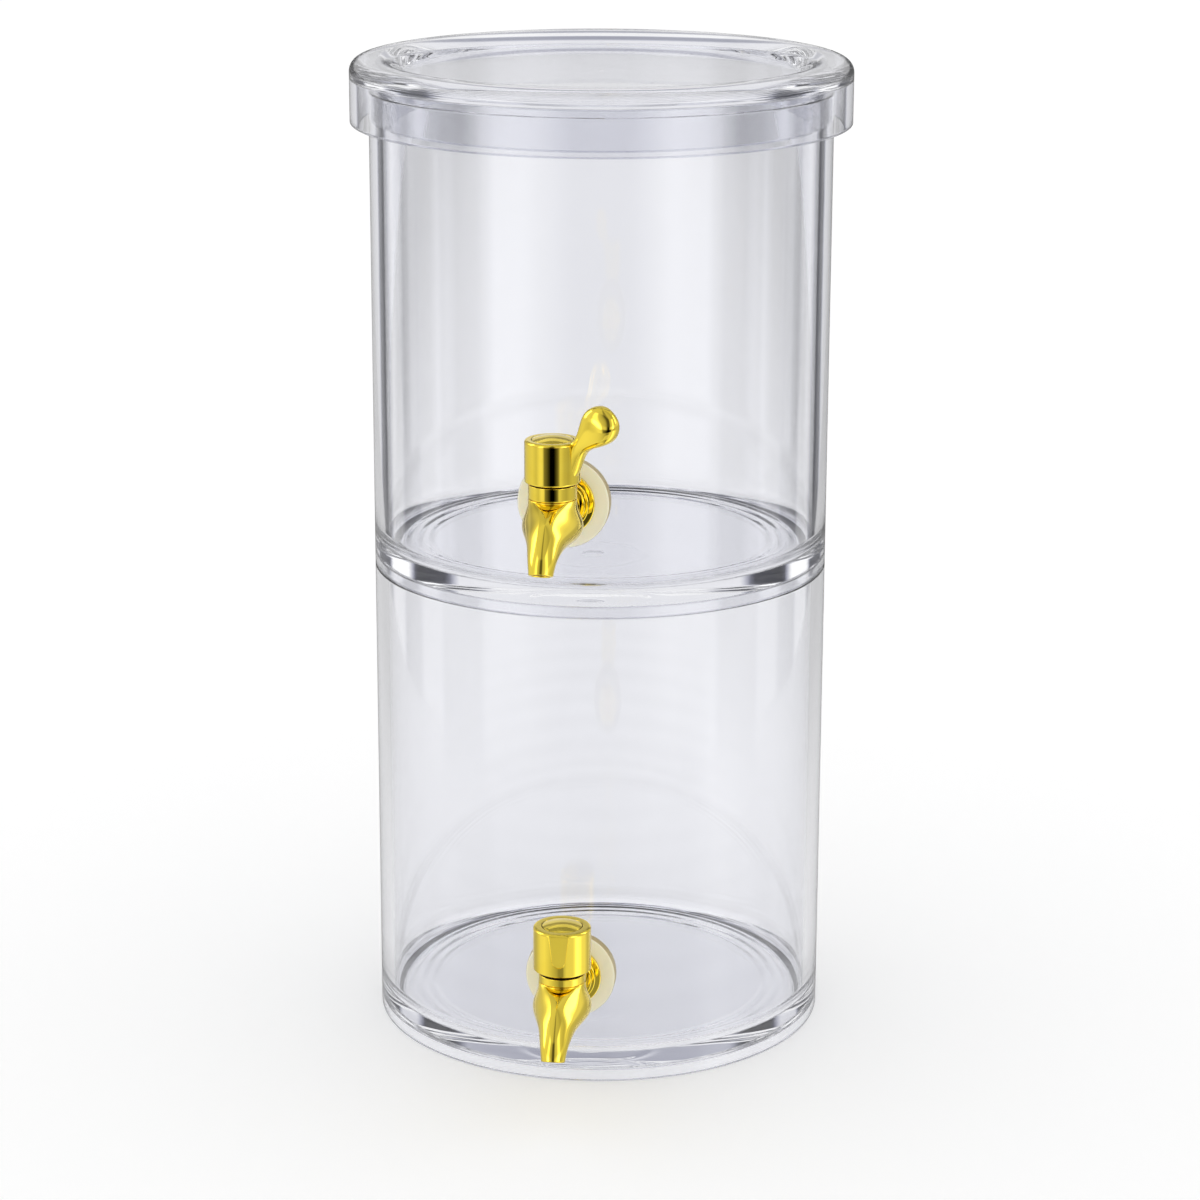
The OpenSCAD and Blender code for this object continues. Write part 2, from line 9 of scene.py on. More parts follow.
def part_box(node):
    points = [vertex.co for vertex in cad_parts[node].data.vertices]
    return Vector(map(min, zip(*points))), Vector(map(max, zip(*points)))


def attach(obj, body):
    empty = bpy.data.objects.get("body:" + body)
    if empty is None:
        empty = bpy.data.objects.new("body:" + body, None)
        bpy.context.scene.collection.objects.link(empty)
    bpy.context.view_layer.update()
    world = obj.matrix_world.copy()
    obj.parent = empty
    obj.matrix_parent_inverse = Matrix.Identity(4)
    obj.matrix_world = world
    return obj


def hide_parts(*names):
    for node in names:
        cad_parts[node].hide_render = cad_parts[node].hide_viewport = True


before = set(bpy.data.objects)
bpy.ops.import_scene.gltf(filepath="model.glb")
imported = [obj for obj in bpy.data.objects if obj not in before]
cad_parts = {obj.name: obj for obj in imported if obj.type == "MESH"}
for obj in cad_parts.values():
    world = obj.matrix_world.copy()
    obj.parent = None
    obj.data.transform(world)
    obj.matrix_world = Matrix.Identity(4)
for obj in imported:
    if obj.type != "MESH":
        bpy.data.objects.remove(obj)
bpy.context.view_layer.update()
mm = 0.001
print("frame loaded")

# Places taken from the solids
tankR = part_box("lower_tank")[1].x
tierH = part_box("upper_tank")[0].z
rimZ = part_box("lower_tank")[1].z
lidLow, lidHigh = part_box("lid")
tapZ = (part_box("lower_outer_washer")[0].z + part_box("lower_outer_washer")[1].z) / 2

# Camera

camera = {
    "turn": 6.8,  # degrees round the stack from the taps' side
    "away": 1.5313,
    "height": 0.63777,
    "pitch": 16.13,
    "roll": 0.17,
    "lens": 103.67,
}


# The camera stands round the stack by the turn, level with the height, and leans down by the pitch
def placeCamera(v):
    cam = bpy.data.objects.new("camera", bpy.data.cameras.new("camera"))
    bpy.context.collection.objects.link(cam)
    turn, pitch = math.radians(v["turn"]), math.radians(v["pitch"])
    back = Vector((math.sin(turn) * math.cos(pitch), -math.cos(turn) * math.cos(pitch), math.sin(pitch)))
    right = Vector((math.cos(turn), math.sin(turn), 0))
    axes = Matrix((right, back.cross(right), back)).transposed().to_4x4()
    spot = (v["away"] * math.sin(turn), -v["away"] * math.cos(turn), v["height"])
    cam.matrix_world = Matrix.Translation(spot) @ axes @ Matrix.Rotation(math.radians(v["roll"]), 4, "Z")
    cam.data.lens = v["lens"]
    bpy.context.scene.camera = cam


placeCamera(camera)
bpy.context.scene.view_settings.view_transform = "Standard"
print("camera placed")

# Clear plastic passes light on many times inside its floors and rims
bounces = {
    "max_bounces": 40,
    "glossy_bounces": 32,
    "transmission_bounces": 40,
    "transparent_max_bounces": 24,
}
for name, value in bounces.items():
    setattr(bpy.context.scene.cycles, name, value)

# Node helpers


def newMaterial(name):
    mat = bpy.data.materials.new(name)
    mat.use_nodes = True
    mat.node_tree.nodes.clear()
    return mat, mat.node_tree


def addNode(tree, kind, **settings):
    node = tree.nodes.new("ShaderNode" + kind)
    for key, value in settings.items():
        setattr(node, key, value)
    return node


def setInputs(node, values):
    for name, value in values.items():
        node.inputs[name].default_value = value


def link(tree, source, target):
    tree.links.new(source, target)


# One number out of one or two others
def maths(tree, operation, a, b=None, clamp=False):
    node = addNode(tree, "Math", operation=operation, use_clamp=clamp)
    for socket, value in zip(node.inputs, (a, b)):
        if isinstance(value, (int, float)):
            socket.default_value = value
        elif value is not None:
            link(tree, value, socket)
    return node.outputs[0]


def mixColour(tree, factor, a, b):
    node = addNode(tree, "Mix", data_type="RGBA")
    for socket, value in ((node.inputs["Factor"], factor), (node.inputs[6], a), (node.inputs[7], b)):
        if isinstance(value, (int, float, tuple)):
            socket.default_value = value
        else:
            link(tree, value, socket)
    return node.outputs[2]


# Rises smoothly from 0 to 1 while a value goes from low to high
def between(tree, value, low, high):
    node = addNode(tree, "MapRange", interpolation_type="SMOOTHSTEP")
    link(tree, value, node.inputs["Value"])
    setInputs(node, {"From Min": low, "From Max": high})
    return node.outputs[0]


def grey(value):
    return (value, value, value, 1)


# A tone with its light cut to a share
def dimmed(tone, share):
    return tuple(share * part for part in tone[:3]) + (1,)


def scaled(tree, colour, factor):
    node = addNode(tree, "VectorMath", operation="SCALE")
    link(tree, colour, node.inputs[0])
    link(tree, factor, node.inputs["Scale"])
    return node.outputs[0]


def inverse(tree, value):
    return maths(tree, "SUBTRACT", 1.0, value)


# The parts of a place or direction, with Y running away from the camera
def turnedParts(tree, place):
    turn = addNode(tree, "Mapping", vector_type="POINT")
    turn.inputs["Rotation"].default_value = (0, 0, -math.radians(camera["turn"]))
    link(tree, place, turn.inputs["Vector"])
    parts = addNode(tree, "SeparateXYZ")
    link(tree, turn.outputs[0], parts.inputs[0])
    return parts.outputs


# Ends a material in one shader, or in a second one to the share that the factor gives
def finishMaterial(tree, shader, factor=None, second=None):
    out = addNode(tree, "OutputMaterial")
    if second:
        mix = addNode(tree, "MixShader")
        link(tree, factor, mix.inputs[0])
        link(tree, shader.outputs[0], mix.inputs[1])
        link(tree, second.outputs[0], mix.inputs[2])
        shader = mix
    link(tree, shader.outputs[0], out.inputs["Surface"])


# Level that changes along a list of (place, level) stops, with place from 0 to 1
def levels(tree, factor, stops):
    ramp = addNode(tree, "ValToRGB")
    elements = ramp.color_ramp.elements
    while len(elements) < len(stops):
        elements.new(0.5)
    top = max(level for _, level in stops)
    for element, (place, level) in zip(elements, stops):
        element.position = place
    for element, (place, level) in zip(elements, stops):
        element.color = grey(level / top)
    link(tree, factor, ramp.inputs["Fac"])
    return maths(tree, "MULTIPLY", ramp.outputs["Color"], top)


# Studio. All places are degrees, round from the camera's side or up from level. Polished faces see a ring
# of levels in each zone of height: steep, low, level, raised and overhead. Refracted rays see the through
# ring times the bands.

studio = {
    "even": 1.0,  # light on matt surfaces
    "steep": [  # (round, level)
        (-180, 0.25), (-119, 0.6), (-94, 0.93), (-74, 1.0), (-56, 0.85), (-44, 0.72), (-20, 0.45),
        (-13, 0.3), (-6, 0.3), (3, 0.3), (8, 0.6), (18, 0.86), (44, 0.89), (53, 1.2),
        (60, 2.0), (68, 2.0), (77, 1.5), (88, 1.0), (102, 0.96), (120, 0.6), (180, 0.25),
    ],
    "lowZone": (-19.5, -15.5),  # steep turns into low between these heights
    "low": [
        (-180, 0.2), (-160, 0.4), (-130, 0.72), (-90, 0.86), (-69, 0.7), (-52, 1.0), (-41, 0.95),
        (-33, 0.23), (-16, 0.055), (-8, 0.0), (8, 0.0), (16, 0.07), (24, 0.2), (33, 0.84),
        (50, 0.6), (69, 0.5), (90, 0.64), (117, 0.6), (140, 0.4), (166, 0.19), (180, 0.2),
    ],
    "level": [
        (-180, 0.1), (-152, 0.15), (-140, 0.6), (-110, 0.85), (-80, 0.8), (-62, 1.0), (-53, 3.2),
        (-43, 3.2), (-36, 0.85), (-22, 0.75), (-14, 0.4), (-8, 0.02), (4, 0.02), (10, 0.5),
        (16, 1.0), (32, 1.1), (44, 3.2), (56, 3.2), (65, 1.0), (90, 0.75), (115, 0.9),
        (136, 0.5), (152, 0.12), (180, 0.1),
    ],
    "levelZone": (-8, -1),
    "raised": [
        (-180, 0.2), (-145, 0.3), (-134, 0.5), (-122, 0.9), (-112, 2.2), (-96, 4.0), (-90, 0.95),
        (-62, 0.8), (-52, 1.6), (-42, 1.6), (-34, 0.7), (-20, 0.5), (-8, 0.1), (6, 0.1),
        (14, 0.6), (34, 0.8), (44, 1.6), (54, 1.6), (64, 0.75), (86, 0.55), (95, 0.95),
        (100, 3.6), (107, 3.6), (112, 1.1), (122, 0.55), (145, 0.3), (180, 0.2),
    ],
    "raisedZone": (4, 11),
    "overhead": [
        (-180, 0.5), (-130, 0.62), (-100, 0.78), (-50, 0.76), (-14, 0.66), (-7, 0.3), (5, 0.3),
        (14, 0.62), (40, 0.6), (66, 0.46), (90, 0.66), (110, 0.75), (150, 0.6), (180, 0.5),
    ],
    "overheadZone": (40, 46),
    "through": [
        (-180, 0.9), (-153, 0.9), (-150, 0.06), (-138, 0.03), (-134, 1.3), (-124, 1.3), (-121, 0.08),
        (-108, 0.08), (-105, 1.2), (-92, 1.2), (-89, 0.03), (-66, 0.03), (-62, 1.4), (-38, 1.3),
        (-14, 0.42), (14, 0.42), (38, 1.3), (62, 1.4), (66, 0.03), (89, 0.03), (92, 1.2),
        (105, 1.2), (108, 0.08), (121, 0.08), (124, 1.3), (134, 1.3), (138, 0.03), (150, 0.06),
        (153, 0.9), (180, 0.9),
    ],
    "throughTint": (0.74, 0.77, 1.04, 1),  # of its darkest parts
    "bands": [  # (up, level)
        (0, 1.0), (20, 1.0), (24, 0.5), (30, 0.5), (33, 1.15), (41, 1.1), (44, 0.45),
        (53, 0.5), (56, 1.2), (66, 1.15), (69, 0.5), (78, 0.5), (82, 1.1), (90, 1.0),
    ],
    "backdrop": 0.8,  # what polished faces see behind the stack
    "backdropRound": (138, 152),
    "backdropUp": (3, 9),
}


def ringLevels(tree, azimuth, stops):
    return levels(tree, azimuth, [(0.5 + degrees / 360, level) for degrees, level in stops])


# A ring of levels over what lies below it, with the zone of height where one turns into the other
def addRing(tree, azimuth, up, below, ring, zone):
    return mixColour(tree, between(tree, up, *zone), below, ringLevels(tree, azimuth, ring))


# Camera rays see white, matt surfaces the even light, polished and clear ones the studio
def buildWorld(v):
    world = bpy.data.worlds.new("studio")
    bpy.context.scene.world = world
    world.use_nodes = True
    tree = world.node_tree
    coords = addNode(tree, "TexCoord")
    parts = turnedParts(tree, coords.outputs["Generated"])
    azimuth = maths(tree, "ARCTAN2", parts["X"], maths(tree, "MULTIPLY", parts["Y"], -1.0))
    azimuth = maths(tree, "ADD", maths(tree, "DIVIDE", azimuth, 2 * math.pi), 0.5)
    up = maths(tree, "MULTIPLY", maths(tree, "ARCSINE", parts["Z"]), 180 / math.pi)
    aside = maths(tree, "ABSOLUTE", maths(tree, "MULTIPLY", maths(tree, "SUBTRACT", azimuth, 0.5), 360))

    mirrored = ringLevels(tree, azimuth, v["steep"])
    for name in ("low", "level", "raised"):
        mirrored = addRing(tree, azimuth, up, mirrored, v[name], v[name + "Zone"])
    facing = between(tree, aside, *v["backdropRound"])
    behind = maths(tree, "MULTIPLY", facing, between(tree, up, *v["backdropUp"]))
    mirrored = mixColour(tree, behind, mirrored, grey(v["backdrop"]))
    mirrored = addRing(tree, azimuth, up, mirrored, v["overhead"], v["overheadZone"])

    height = maths(tree, "DIVIDE", up, 90, clamp=True)
    bands = levels(tree, height, [(degrees / 90, level) for degrees, level in v["bands"]])
    through = maths(tree, "MULTIPLY", ringLevels(tree, azimuth, v["through"]), bands)
    through = scaled(tree, mixColour(tree, through, v["throughTint"], grey(1)), through)

    path = addNode(tree, "LightPath")
    glossy, refracted = path.outputs["Is Glossy Ray"], path.outputs["Is Transmission Ray"]
    seen = mixColour(tree, refracted, mirrored, through)
    plain = mixColour(tree, path.outputs["Is Camera Ray"], grey(v["even"]), grey(1))
    shown = mixColour(tree, maths(tree, "MAXIMUM", glossy, refracted), plain, seen)
    link(tree, shown, tree.nodes["Background"].inputs["Color"])


buildWorld(studio)

floorView = {
    "half": 6.0,
    "drop": 0.05 * mm,  # keeps the floor clear of the feet
    "tone": 0.8,
    "grainScale": 3,
    "grainShare": 0.01,
    "roughness": 0.9,
    "glow": 0.22,
    "throughGlow": 0.0,
    "underGlow": 0.5,  # under the stack
    "underZone": (0.95, 1.3),  # times the tank's radius
    # Mirrored rays see the studio in the floor's place, apart from a faint patch before the stack
    "patchNear": (0.33, 0.363),
    "patchFar": (0.715, 0.65),
    "patchAside": (0.192, 0.16),
    "patchShare": 0.55,
    # Refracted rays see the floor up to here, and all of it behind the stack
    "throughZone": (0.4, 0.6),
    "backZone": (-0.1, 0.1),
    "backAside": (0.55, 0.605),
    # They see it with painted shade, darker towards the sides and in rings round the stack
    "sideZone": (0.1, 0.45),
    "paintedSideShade": 0.42,
    "ringWidth": 0.045,
    "paintedRingShade": 0.5,
    "ringZone": (1.0, 1.1),  # times the tank's radius
}


# A plain pale plane; what polished and clear pieces see of it changes with the place on it
def buildFloor(v):
    mesh = bpy.data.meshes.new("floor")
    h = v["half"]
    mesh.from_pydata([(-h, -h, 0), (h, -h, 0), (h, h, 0), (-h, h, 0)], [], [(0, 1, 2, 3)])
    floor = bpy.data.objects.new("floor", mesh)
    floor.location.z = -v["drop"]
    bpy.context.collection.objects.link(floor)
    mat, tree = newMaterial("floor")
    coords = addNode(tree, "TexCoord")
    path = addNode(tree, "LightPath")
    mirrored, refracted = path.outputs["Is Glossy Ray"], path.outputs["Is Transmission Ray"]
    reach = addNode(tree, "VectorMath", operation="LENGTH")
    link(tree, coords.outputs["Object"], reach.inputs[0])
    reach = reach.outputs["Value"]
    parts = turnedParts(tree, coords.outputs["Object"])
    aside = maths(tree, "ABSOLUTE", parts["X"])
    behind = between(tree, parts["Y"], *v["backZone"])
    before = inverse(tree, behind)
    ringZone = [tankR * share for share in v["ringZone"]]
    underZone = [tankR * share for share in v["underZone"]]

    # What refracted rays see of it, with painted shade in rings and towards the sides
    rings = maths(tree, "COSINE", maths(tree, "MULTIPLY", reach, 2 * math.pi / v["ringWidth"]))
    rings = maths(tree, "MULTIPLY", maths(tree, "ADD", rings, 1.0), v["paintedRingShade"] / 2)
    rings = maths(tree, "MULTIPLY", rings, before)
    rings = maths(tree, "MULTIPLY", rings, between(tree, reach, *ringZone))
    sides = maths(tree, "MULTIPLY", between(tree, aside, *v["sideZone"]), v["paintedSideShade"])
    paintedFloorShade = maths(tree, "MULTIPLY", maths(tree, "MAXIMUM", rings, sides), refracted)

    grain = addNode(tree, "TexNoise")
    grain.inputs["Scale"].default_value = v["grainScale"]
    link(tree, coords.outputs["Object"], grain.inputs["Vector"])
    tone = mixColour(tree, grain.outputs["Fac"], grey(v["tone"]), grey(v["tone"] * (1 + v["grainShare"])))
    bsdf = addNode(tree, "BsdfPrincipled")
    link(tree, scaled(tree, tone, inverse(tree, paintedFloorShade)), bsdf.inputs["Base Color"])
    setInputs(bsdf, {"Roughness": v["roughness"], "Specular IOR Level": 0.0, "Emission Color": grey(1)})
    glow = maths(tree, "MAXIMUM", mirrored, path.outputs["Is Camera Ray"])
    glow = maths(tree, "MULTIPLY", glow, v["glow"])
    outside = between(tree, reach, *underZone)
    throughGlow = mixColour(tree, outside, grey(v["underGlow"]), grey(v["throughGlow"]))
    throughGlow = maths(tree, "MULTIPLY", throughGlow, refracted)
    link(tree, maths(tree, "MAXIMUM", glow, throughGlow), bsdf.inputs["Emission Strength"])

    # Where mirrored and refracted rays pass it by and see the studio
    middle = inverse(tree, between(tree, aside, *v["backAside"]))
    clearOfIt = inverse(tree, maths(tree, "MULTIPLY", behind, middle))
    beyond = maths(tree, "MULTIPLY", between(tree, reach, *v["throughZone"]), clearOfIt)
    patch = between(tree, reach, *v["patchNear"])
    patch = maths(tree, "MULTIPLY", patch, between(tree, reach, *v["patchFar"]))
    patch = maths(tree, "MULTIPLY", patch, between(tree, aside, *v["patchAside"]))
    patch = maths(tree, "MULTIPLY", patch, before)
    lost = inverse(tree, maths(tree, "MULTIPLY", patch, v["patchShare"]))
    gone = mixColour(tree, refracted, maths(tree, "MULTIPLY", lost, mirrored), beyond)
    finishMaterial(tree, bsdf, gone, addNode(tree, "BsdfTransparent"))
    mesh.materials.append(mat)


buildFloor(floorView)
print("studio built")

# Shared effects


# An empty node group with named inputs and outputs
def newGroup(name, inputs, outputs):
    tree = bpy.data.node_groups.new(name, "ShaderNodeTree")
    for label, kind, value in inputs:
        socket = tree.interface.new_socket(name=label, in_out="INPUT", socket_type="NodeSocket" + kind)
        if value is not None:
            socket.default_value = value
    for label, kind in outputs:
        tree.interface.new_socket(name=label, in_out="OUTPUT", socket_type="NodeSocket" + kind)
    return tree, tree.nodes.new("NodeGroupInput"), tree.nodes.new("NodeGroupOutput")


skinEffect = {
    "waveDetail": 1.5,
    "grainDetail": 2.0,
    "smearScale": 55,
    "smearDistortion": 1.2,
    "smearZone": (0.5, 0.72),
}


# Slow waves and fine grain of a moulded or polished skin, as a height, and the smears on it, as a mask
def buildSkinGroup(v):
    tree, start, end = newGroup(
        "skin",
        [("Vector", "Vector", None), ("Wave Scale", "Float", 40.0), ("Grain Scale", "Float", 900.0),
         ("Grain Share", "Float", 0.1)],
        [("Height", "Float"), ("Smear", "Float")],
    )
    wave = addNode(tree, "TexNoise")
    wave.inputs["Detail"].default_value = v["waveDetail"]
    grain = addNode(tree, "TexNoise")
    grain.inputs["Detail"].default_value = v["grainDetail"]
    smear = addNode(tree, "TexNoise")
    setInputs(smear, {"Scale": v["smearScale"], "Distortion": v["smearDistortion"]})
    for node in (wave, grain, smear):
        link(tree, start.outputs["Vector"], node.inputs["Vector"])
    link(tree, start.outputs["Wave Scale"], wave.inputs["Scale"])
    link(tree, start.outputs["Grain Scale"], grain.inputs["Scale"])
    fine = maths(tree, "MULTIPLY", grain.outputs["Fac"], start.outputs["Grain Share"])
    link(tree, maths(tree, "ADD", wave.outputs["Fac"], fine), end.inputs["Height"])
    link(tree, between(tree, smear.outputs["Fac"], *v["smearZone"]), end.inputs["Smear"])
    return tree


skinGroup = buildSkinGroup(skinEffect)


def useSkin(tree, v):
    node = addNode(tree, "Group", node_tree=skinGroup)
    coords = addNode(tree, "TexCoord")
    link(tree, coords.outputs["Object"], node.inputs["Vector"])
    setInputs(node, {
        "Wave Scale": v["waveScale"],
        "Grain Scale": v["grainScale"],
        "Grain Share": v["grainShare"],
    })
    return node


def useBump(tree, skin, v):
    bump = addNode(tree, "Bump")
    setInputs(bump, {"Strength": v["bump"], "Distance": v["depth"]})
    link(tree, skin.outputs["Height"], bump.inputs["Height"])
    return bump.outputs[0]


# Roughness that goes from clean to smeared
def useSmears(tree, skin, clean, smeared):
    rough = addNode(tree, "MapRange")
    link(tree, skin.outputs["Smear"], rough.inputs["Value"])
    setInputs(rough, {"To Min": clean, "To Max": smeared})
    return rough.outputs[0]


# Materials


# A new material with its skin and a principled shader that takes the skin's bumps
def skinnedMaterial(name, v):
    mat, tree = newMaterial(name)
    skin = useSkin(tree, v)
    bsdf = addNode(tree, "BsdfPrincipled")
    link(tree, useBump(tree, skin, v), bsdf.inputs["Normal"])
    return mat, tree, skin, bsdf


acrylicLook = {
    "tint": (0.92, 0.923, 0.945, 1),
    "smearTint": (0.915, 0.918, 0.94, 1),
    "smearRoughness": 0.012,
    "ior": 1.49,
    "mirror": 0.3,
    "shade": (0.93, 0.935, 0.945, 1),  # what a shadow ray keeps at each surface
    "skin": {"waveScale": 30, "grainScale": 700, "grainShare": 0.005, "bump": 0.04, "depth": 0.6 * mm},
}


def acrylicMaterial(v):
    mat, tree, skin, bsdf = skinnedMaterial("clear_acrylic", v["skin"])
    setInputs(bsdf, {"Transmission Weight": 1.0, "IOR": v["ior"], "Specular IOR Level": v["mirror"]})
    link(tree, mixColour(tree, skin.outputs["Smear"], v["tint"], v["smearTint"]), bsdf.inputs["Base Color"])
    link(tree, useSmears(tree, skin, 0, v["smearRoughness"]), bsdf.inputs["Roughness"])
    path = addNode(tree, "LightPath")
    clear = addNode(tree, "BsdfTransparent")
    clear.inputs["Color"].default_value = v["shade"]
    finishMaterial(tree, bsdf, path.outputs["Is Shadow Ray"], clear)
    return mat


goldLook = {
    "tone": (0.93, 0.715, 0.08, 1),
    # painted shade: near black where the "gap" mask marks the groove under the knob and the gap round the
    # cap
    "paintedShadeTone": (0.012, 0.009, 0.003, 1),
    "smearTone": (0.91, 0.69, 0.072, 1),
    "roughness": 0.025,
    "smearRoughness": 0.06,
    "skin": {"waveScale": 160, "grainScale": 2500, "grainShare": 0.03, "bump": 0.06, "depth": 0.2 * mm},
}


def goldMaterial(v):
    mat, tree, skin, bsdf = skinnedMaterial("gold_metal", v["skin"])
    bsdf.inputs["Metallic"].default_value = 1.0
    # The "gap" mask paints shade into the gold's colour
    gap = addNode(tree, "Attribute", attribute_name="gap")
    tone = mixColour(tree, skin.outputs["Smear"], v["tone"], v["smearTone"])
    link(tree, mixColour(tree, gap.outputs["Fac"], tone, v["paintedShadeTone"]), bsdf.inputs["Base Color"])
    link(tree, useSmears(tree, skin, v["roughness"], v["smearRoughness"]), bsdf.inputs["Roughness"])
    finishMaterial(tree, bsdf)
    return mat


creamLook = {
    "tone": (0.98, 0.945, 0.76, 1),
    "smearShare": 0.97,
    # painted shade and gold reflection on the outer edge, where the "rim" mask is
    "paintedRimTone": (0.55, 0.44, 0.20, 1),
    "roughness": 0.32,
    "depthShare": 0.2,  # how much light goes under the skin
    "depthRadius": (0.004, 0.003, 0.0015),
    "depthScale": 0.6,
    "skin": {"waveScale": 120, "grainScale": 3000, "grainShare": 0.4, "bump": 0.05, "depth": 0.1 * mm},
}


def creamMaterial(v):
    mat, tree, skin, bsdf = skinnedMaterial("cream_silicone", v["skin"])
    # The "rim" mask paints shade and reflected gold into the edge's colour
    edge = addNode(tree, "Attribute", attribute_name="rim")
    tone = mixColour(tree, skin.outputs["Smear"], v["tone"], dimmed(v["tone"], v["smearShare"]))
    link(tree, mixColour(tree, edge.outputs["Fac"], tone, v["paintedRimTone"]), bsdf.inputs["Base Color"])
    setInputs(bsdf, {
        "Roughness": v["roughness"],
        "Subsurface Weight": v["depthShare"],
        "Subsurface Radius": v["depthRadius"],
        "Subsurface Scale": v["depthScale"],
    })
    finishMaterial(tree, bsdf)
    return mat


innerLook = {
    "smearShare": 0.8,
    "smearRough": 1.3,
    "skin": {"waveScale": 200, "grainScale": 3000, "grainShare": 0.3, "bump": 0.1, "depth": 0.1 * mm},
}


# The metal and rubber of the pieces inside
def innerMaterial(name, tone, roughness, metallic):
    v = innerLook
    mat, tree, skin, bsdf = skinnedMaterial(name, v["skin"])
    bsdf.inputs["Metallic"].default_value = metallic
    smeared = dimmed(tone, v["smearShare"])
    link(tree, mixColour(tree, skin.outputs["Smear"], tone, smeared), bsdf.inputs["Base Color"])
    link(tree, useSmears(tree, skin, roughness, roughness * v["smearRough"]), bsdf.inputs["Roughness"])
    finishMaterial(tree, bsdf)
    return mat


materials = {
    "clear_acrylic": acrylicMaterial(acrylicLook),
    "gold_metal": goldMaterial(goldLook),
    "cream_silicone": creamMaterial(creamLook),
    "steel": innerMaterial("steel", (0.62, 0.63, 0.65, 1), 0.25, 1.0),
    "black_rubber": innerMaterial("black_rubber", (0.02, 0.02, 0.02, 1), 0.5, 0.0),
}
print("materials made")

# Surfaces

meshCare = {"weld": 1e-7, "sharp": 38}


# Corners are (radius, height) or (radius, height, rounding); a rounding becomes an arc that touches both
# sides, and points near a corner keep the long flats beside it flat
def profile(corners, steps=8, support=0.4 * mm):
    points = []
    count = len(corners)
    for i, corner in enumerate(corners):
        here = np.array(corner[:2], float)
        rounding = corner[2] if len(corner) > 2 else 0
        before = np.array(corners[i - 1][:2], float) - here
        after = np.array(corners[(i + 1) % count][:2], float) - here
        first, last = i == 0, i == count - 1
        u, w = before / np.linalg.norm(before), after / np.linalg.norm(after)
        if rounding:
            half = math.acos(np.clip(u @ w, -1, 1)) / 2
            run = rounding / math.tan(half)
            centre = here + (u + w) / np.linalg.norm(u + w) * rounding / math.sin(half)
            a, b = here + u * run - centre, here + w * run - centre
            start = math.atan2(a[1], a[0])
            sweep = (math.atan2(b[1], b[0]) - start + math.pi) % (2 * math.pi) - math.pi
            angles = start + np.linspace(0, 1, steps + 1) * sweep
            bend = centre + rounding * np.stack([np.cos(angles), np.sin(angles)], 1)
        else:
            run, bend = 0, here[None, :]
        if not first and np.linalg.norm(before) > run + 3 * support:
            points.append((here + u * (run + support))[None, :])
        points.append(bend)
        if not last and np.linalg.norm(after) > run + 3 * support:
            points.append((here + w * (run + support))[None, :])
    return np.concatenate(points)


# Points of an arc in a profile, from one angle to another, in degrees
def arc(centre, radius, start, end, steps):
    a = np.radians(np.linspace(start, end, steps + 1))
    return [(centre[0] + radius * math.cos(x), centre[1] + radius * math.sin(x)) for x in a]


# Rises smoothly from 0 to 1
def ease(t):
    t = np.clip(t, 0, 1)
    return t * t * (3 - 2 * t)


# x = r cos(a), y = r sin(a), z = height, for each point of the profile and each angle a round the axis
def revolve(outline, around):
    a = np.linspace(0, 2 * np.pi, around, endpoint=False)
    r, z = outline[:, 0][:, None], outline[:, 1][:, None]
    return np.stack([r * np.cos(a), r * np.sin(a), np.broadcast_to(z, (len(outline), around))], -1)


# A rounded form whose axis is the tap's axis: the profile's height becomes the way out
def lying(outline, around):
    form = revolve(outline, around)
    return np.stack([form[..., 0], form[..., 2], form[..., 1]], -1)


# Turned round the upright axis: x = x cos(a) - y sin(a), y = x sin(a) + y cos(a)
def turned(form, degrees):
    c, s = math.cos(math.radians(degrees)), math.sin(math.radians(degrees))
    x, y, z = form[..., 0], form[..., 1], form[..., 2]
    return np.stack([c * x - s * y, s * x + c * y, z], -1)


# Squares between the rows and the columns of a grid whose columns close on themselves
def gridFaces(rows, columns, start):
    r = np.arange(rows - 1)[:, None] * columns
    c = np.arange(columns)[None, :]
    n = (c + 1) % columns
    return np.stack([r + c, r + n, r + columns + n, r + columns + c], -1).reshape(-1, 4) + start


# A mesh with its doubled points merged and its faces turned outwards
def closedMesh(name, points, faces):
    mesh = bpy.data.meshes.new(name)
    mesh.from_pydata(points.tolist(), [], faces.tolist())
    work = bmesh.new()
    work.from_mesh(mesh)
    bmesh.ops.remove_doubles(work, verts=work.verts, dist=meshCare["weld"])
    bmesh.ops.recalc_face_normals(work, faces=work.faces)
    work.to_mesh(mesh)
    work.free()
    return mesh


def smoothMesh(mesh):
    mesh.polygons.foreach_set("use_smooth", np.ones(len(mesh.polygons), bool))
    mesh.set_sharp_from_angle(angle=math.radians(meshCare["sharp"]))


# Each grid runs from pole to pole or has its ends closed by a fan; together they make one piece
def makePiece(name, grids, slotName, body, nodes):
    points, faces, start = [], [], 0
    for grid in grids:
        rows, columns = grid.shape[:2]
        ends = np.stack([grid[0].mean(0), grid[-1].mean(0)])[:, None, :].repeat(columns, 1)
        closed = np.concatenate([ends[:1], grid, ends[1:]])
        points.append(closed.reshape(-1, 3))
        faces.append(gridFaces(rows + 2, columns, start))
        start += (rows + 2) * columns
    mesh = closedMesh(name, np.concatenate(points), np.concatenate(faces))
    smoothMesh(mesh)
    piece = bpy.data.objects.new(name, mesh)
    bpy.context.collection.objects.link(piece)
    mesh.materials.append(materials[slotName])
    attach(piece, body)
    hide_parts(*nodes)
    return piece


# Clear mouldings

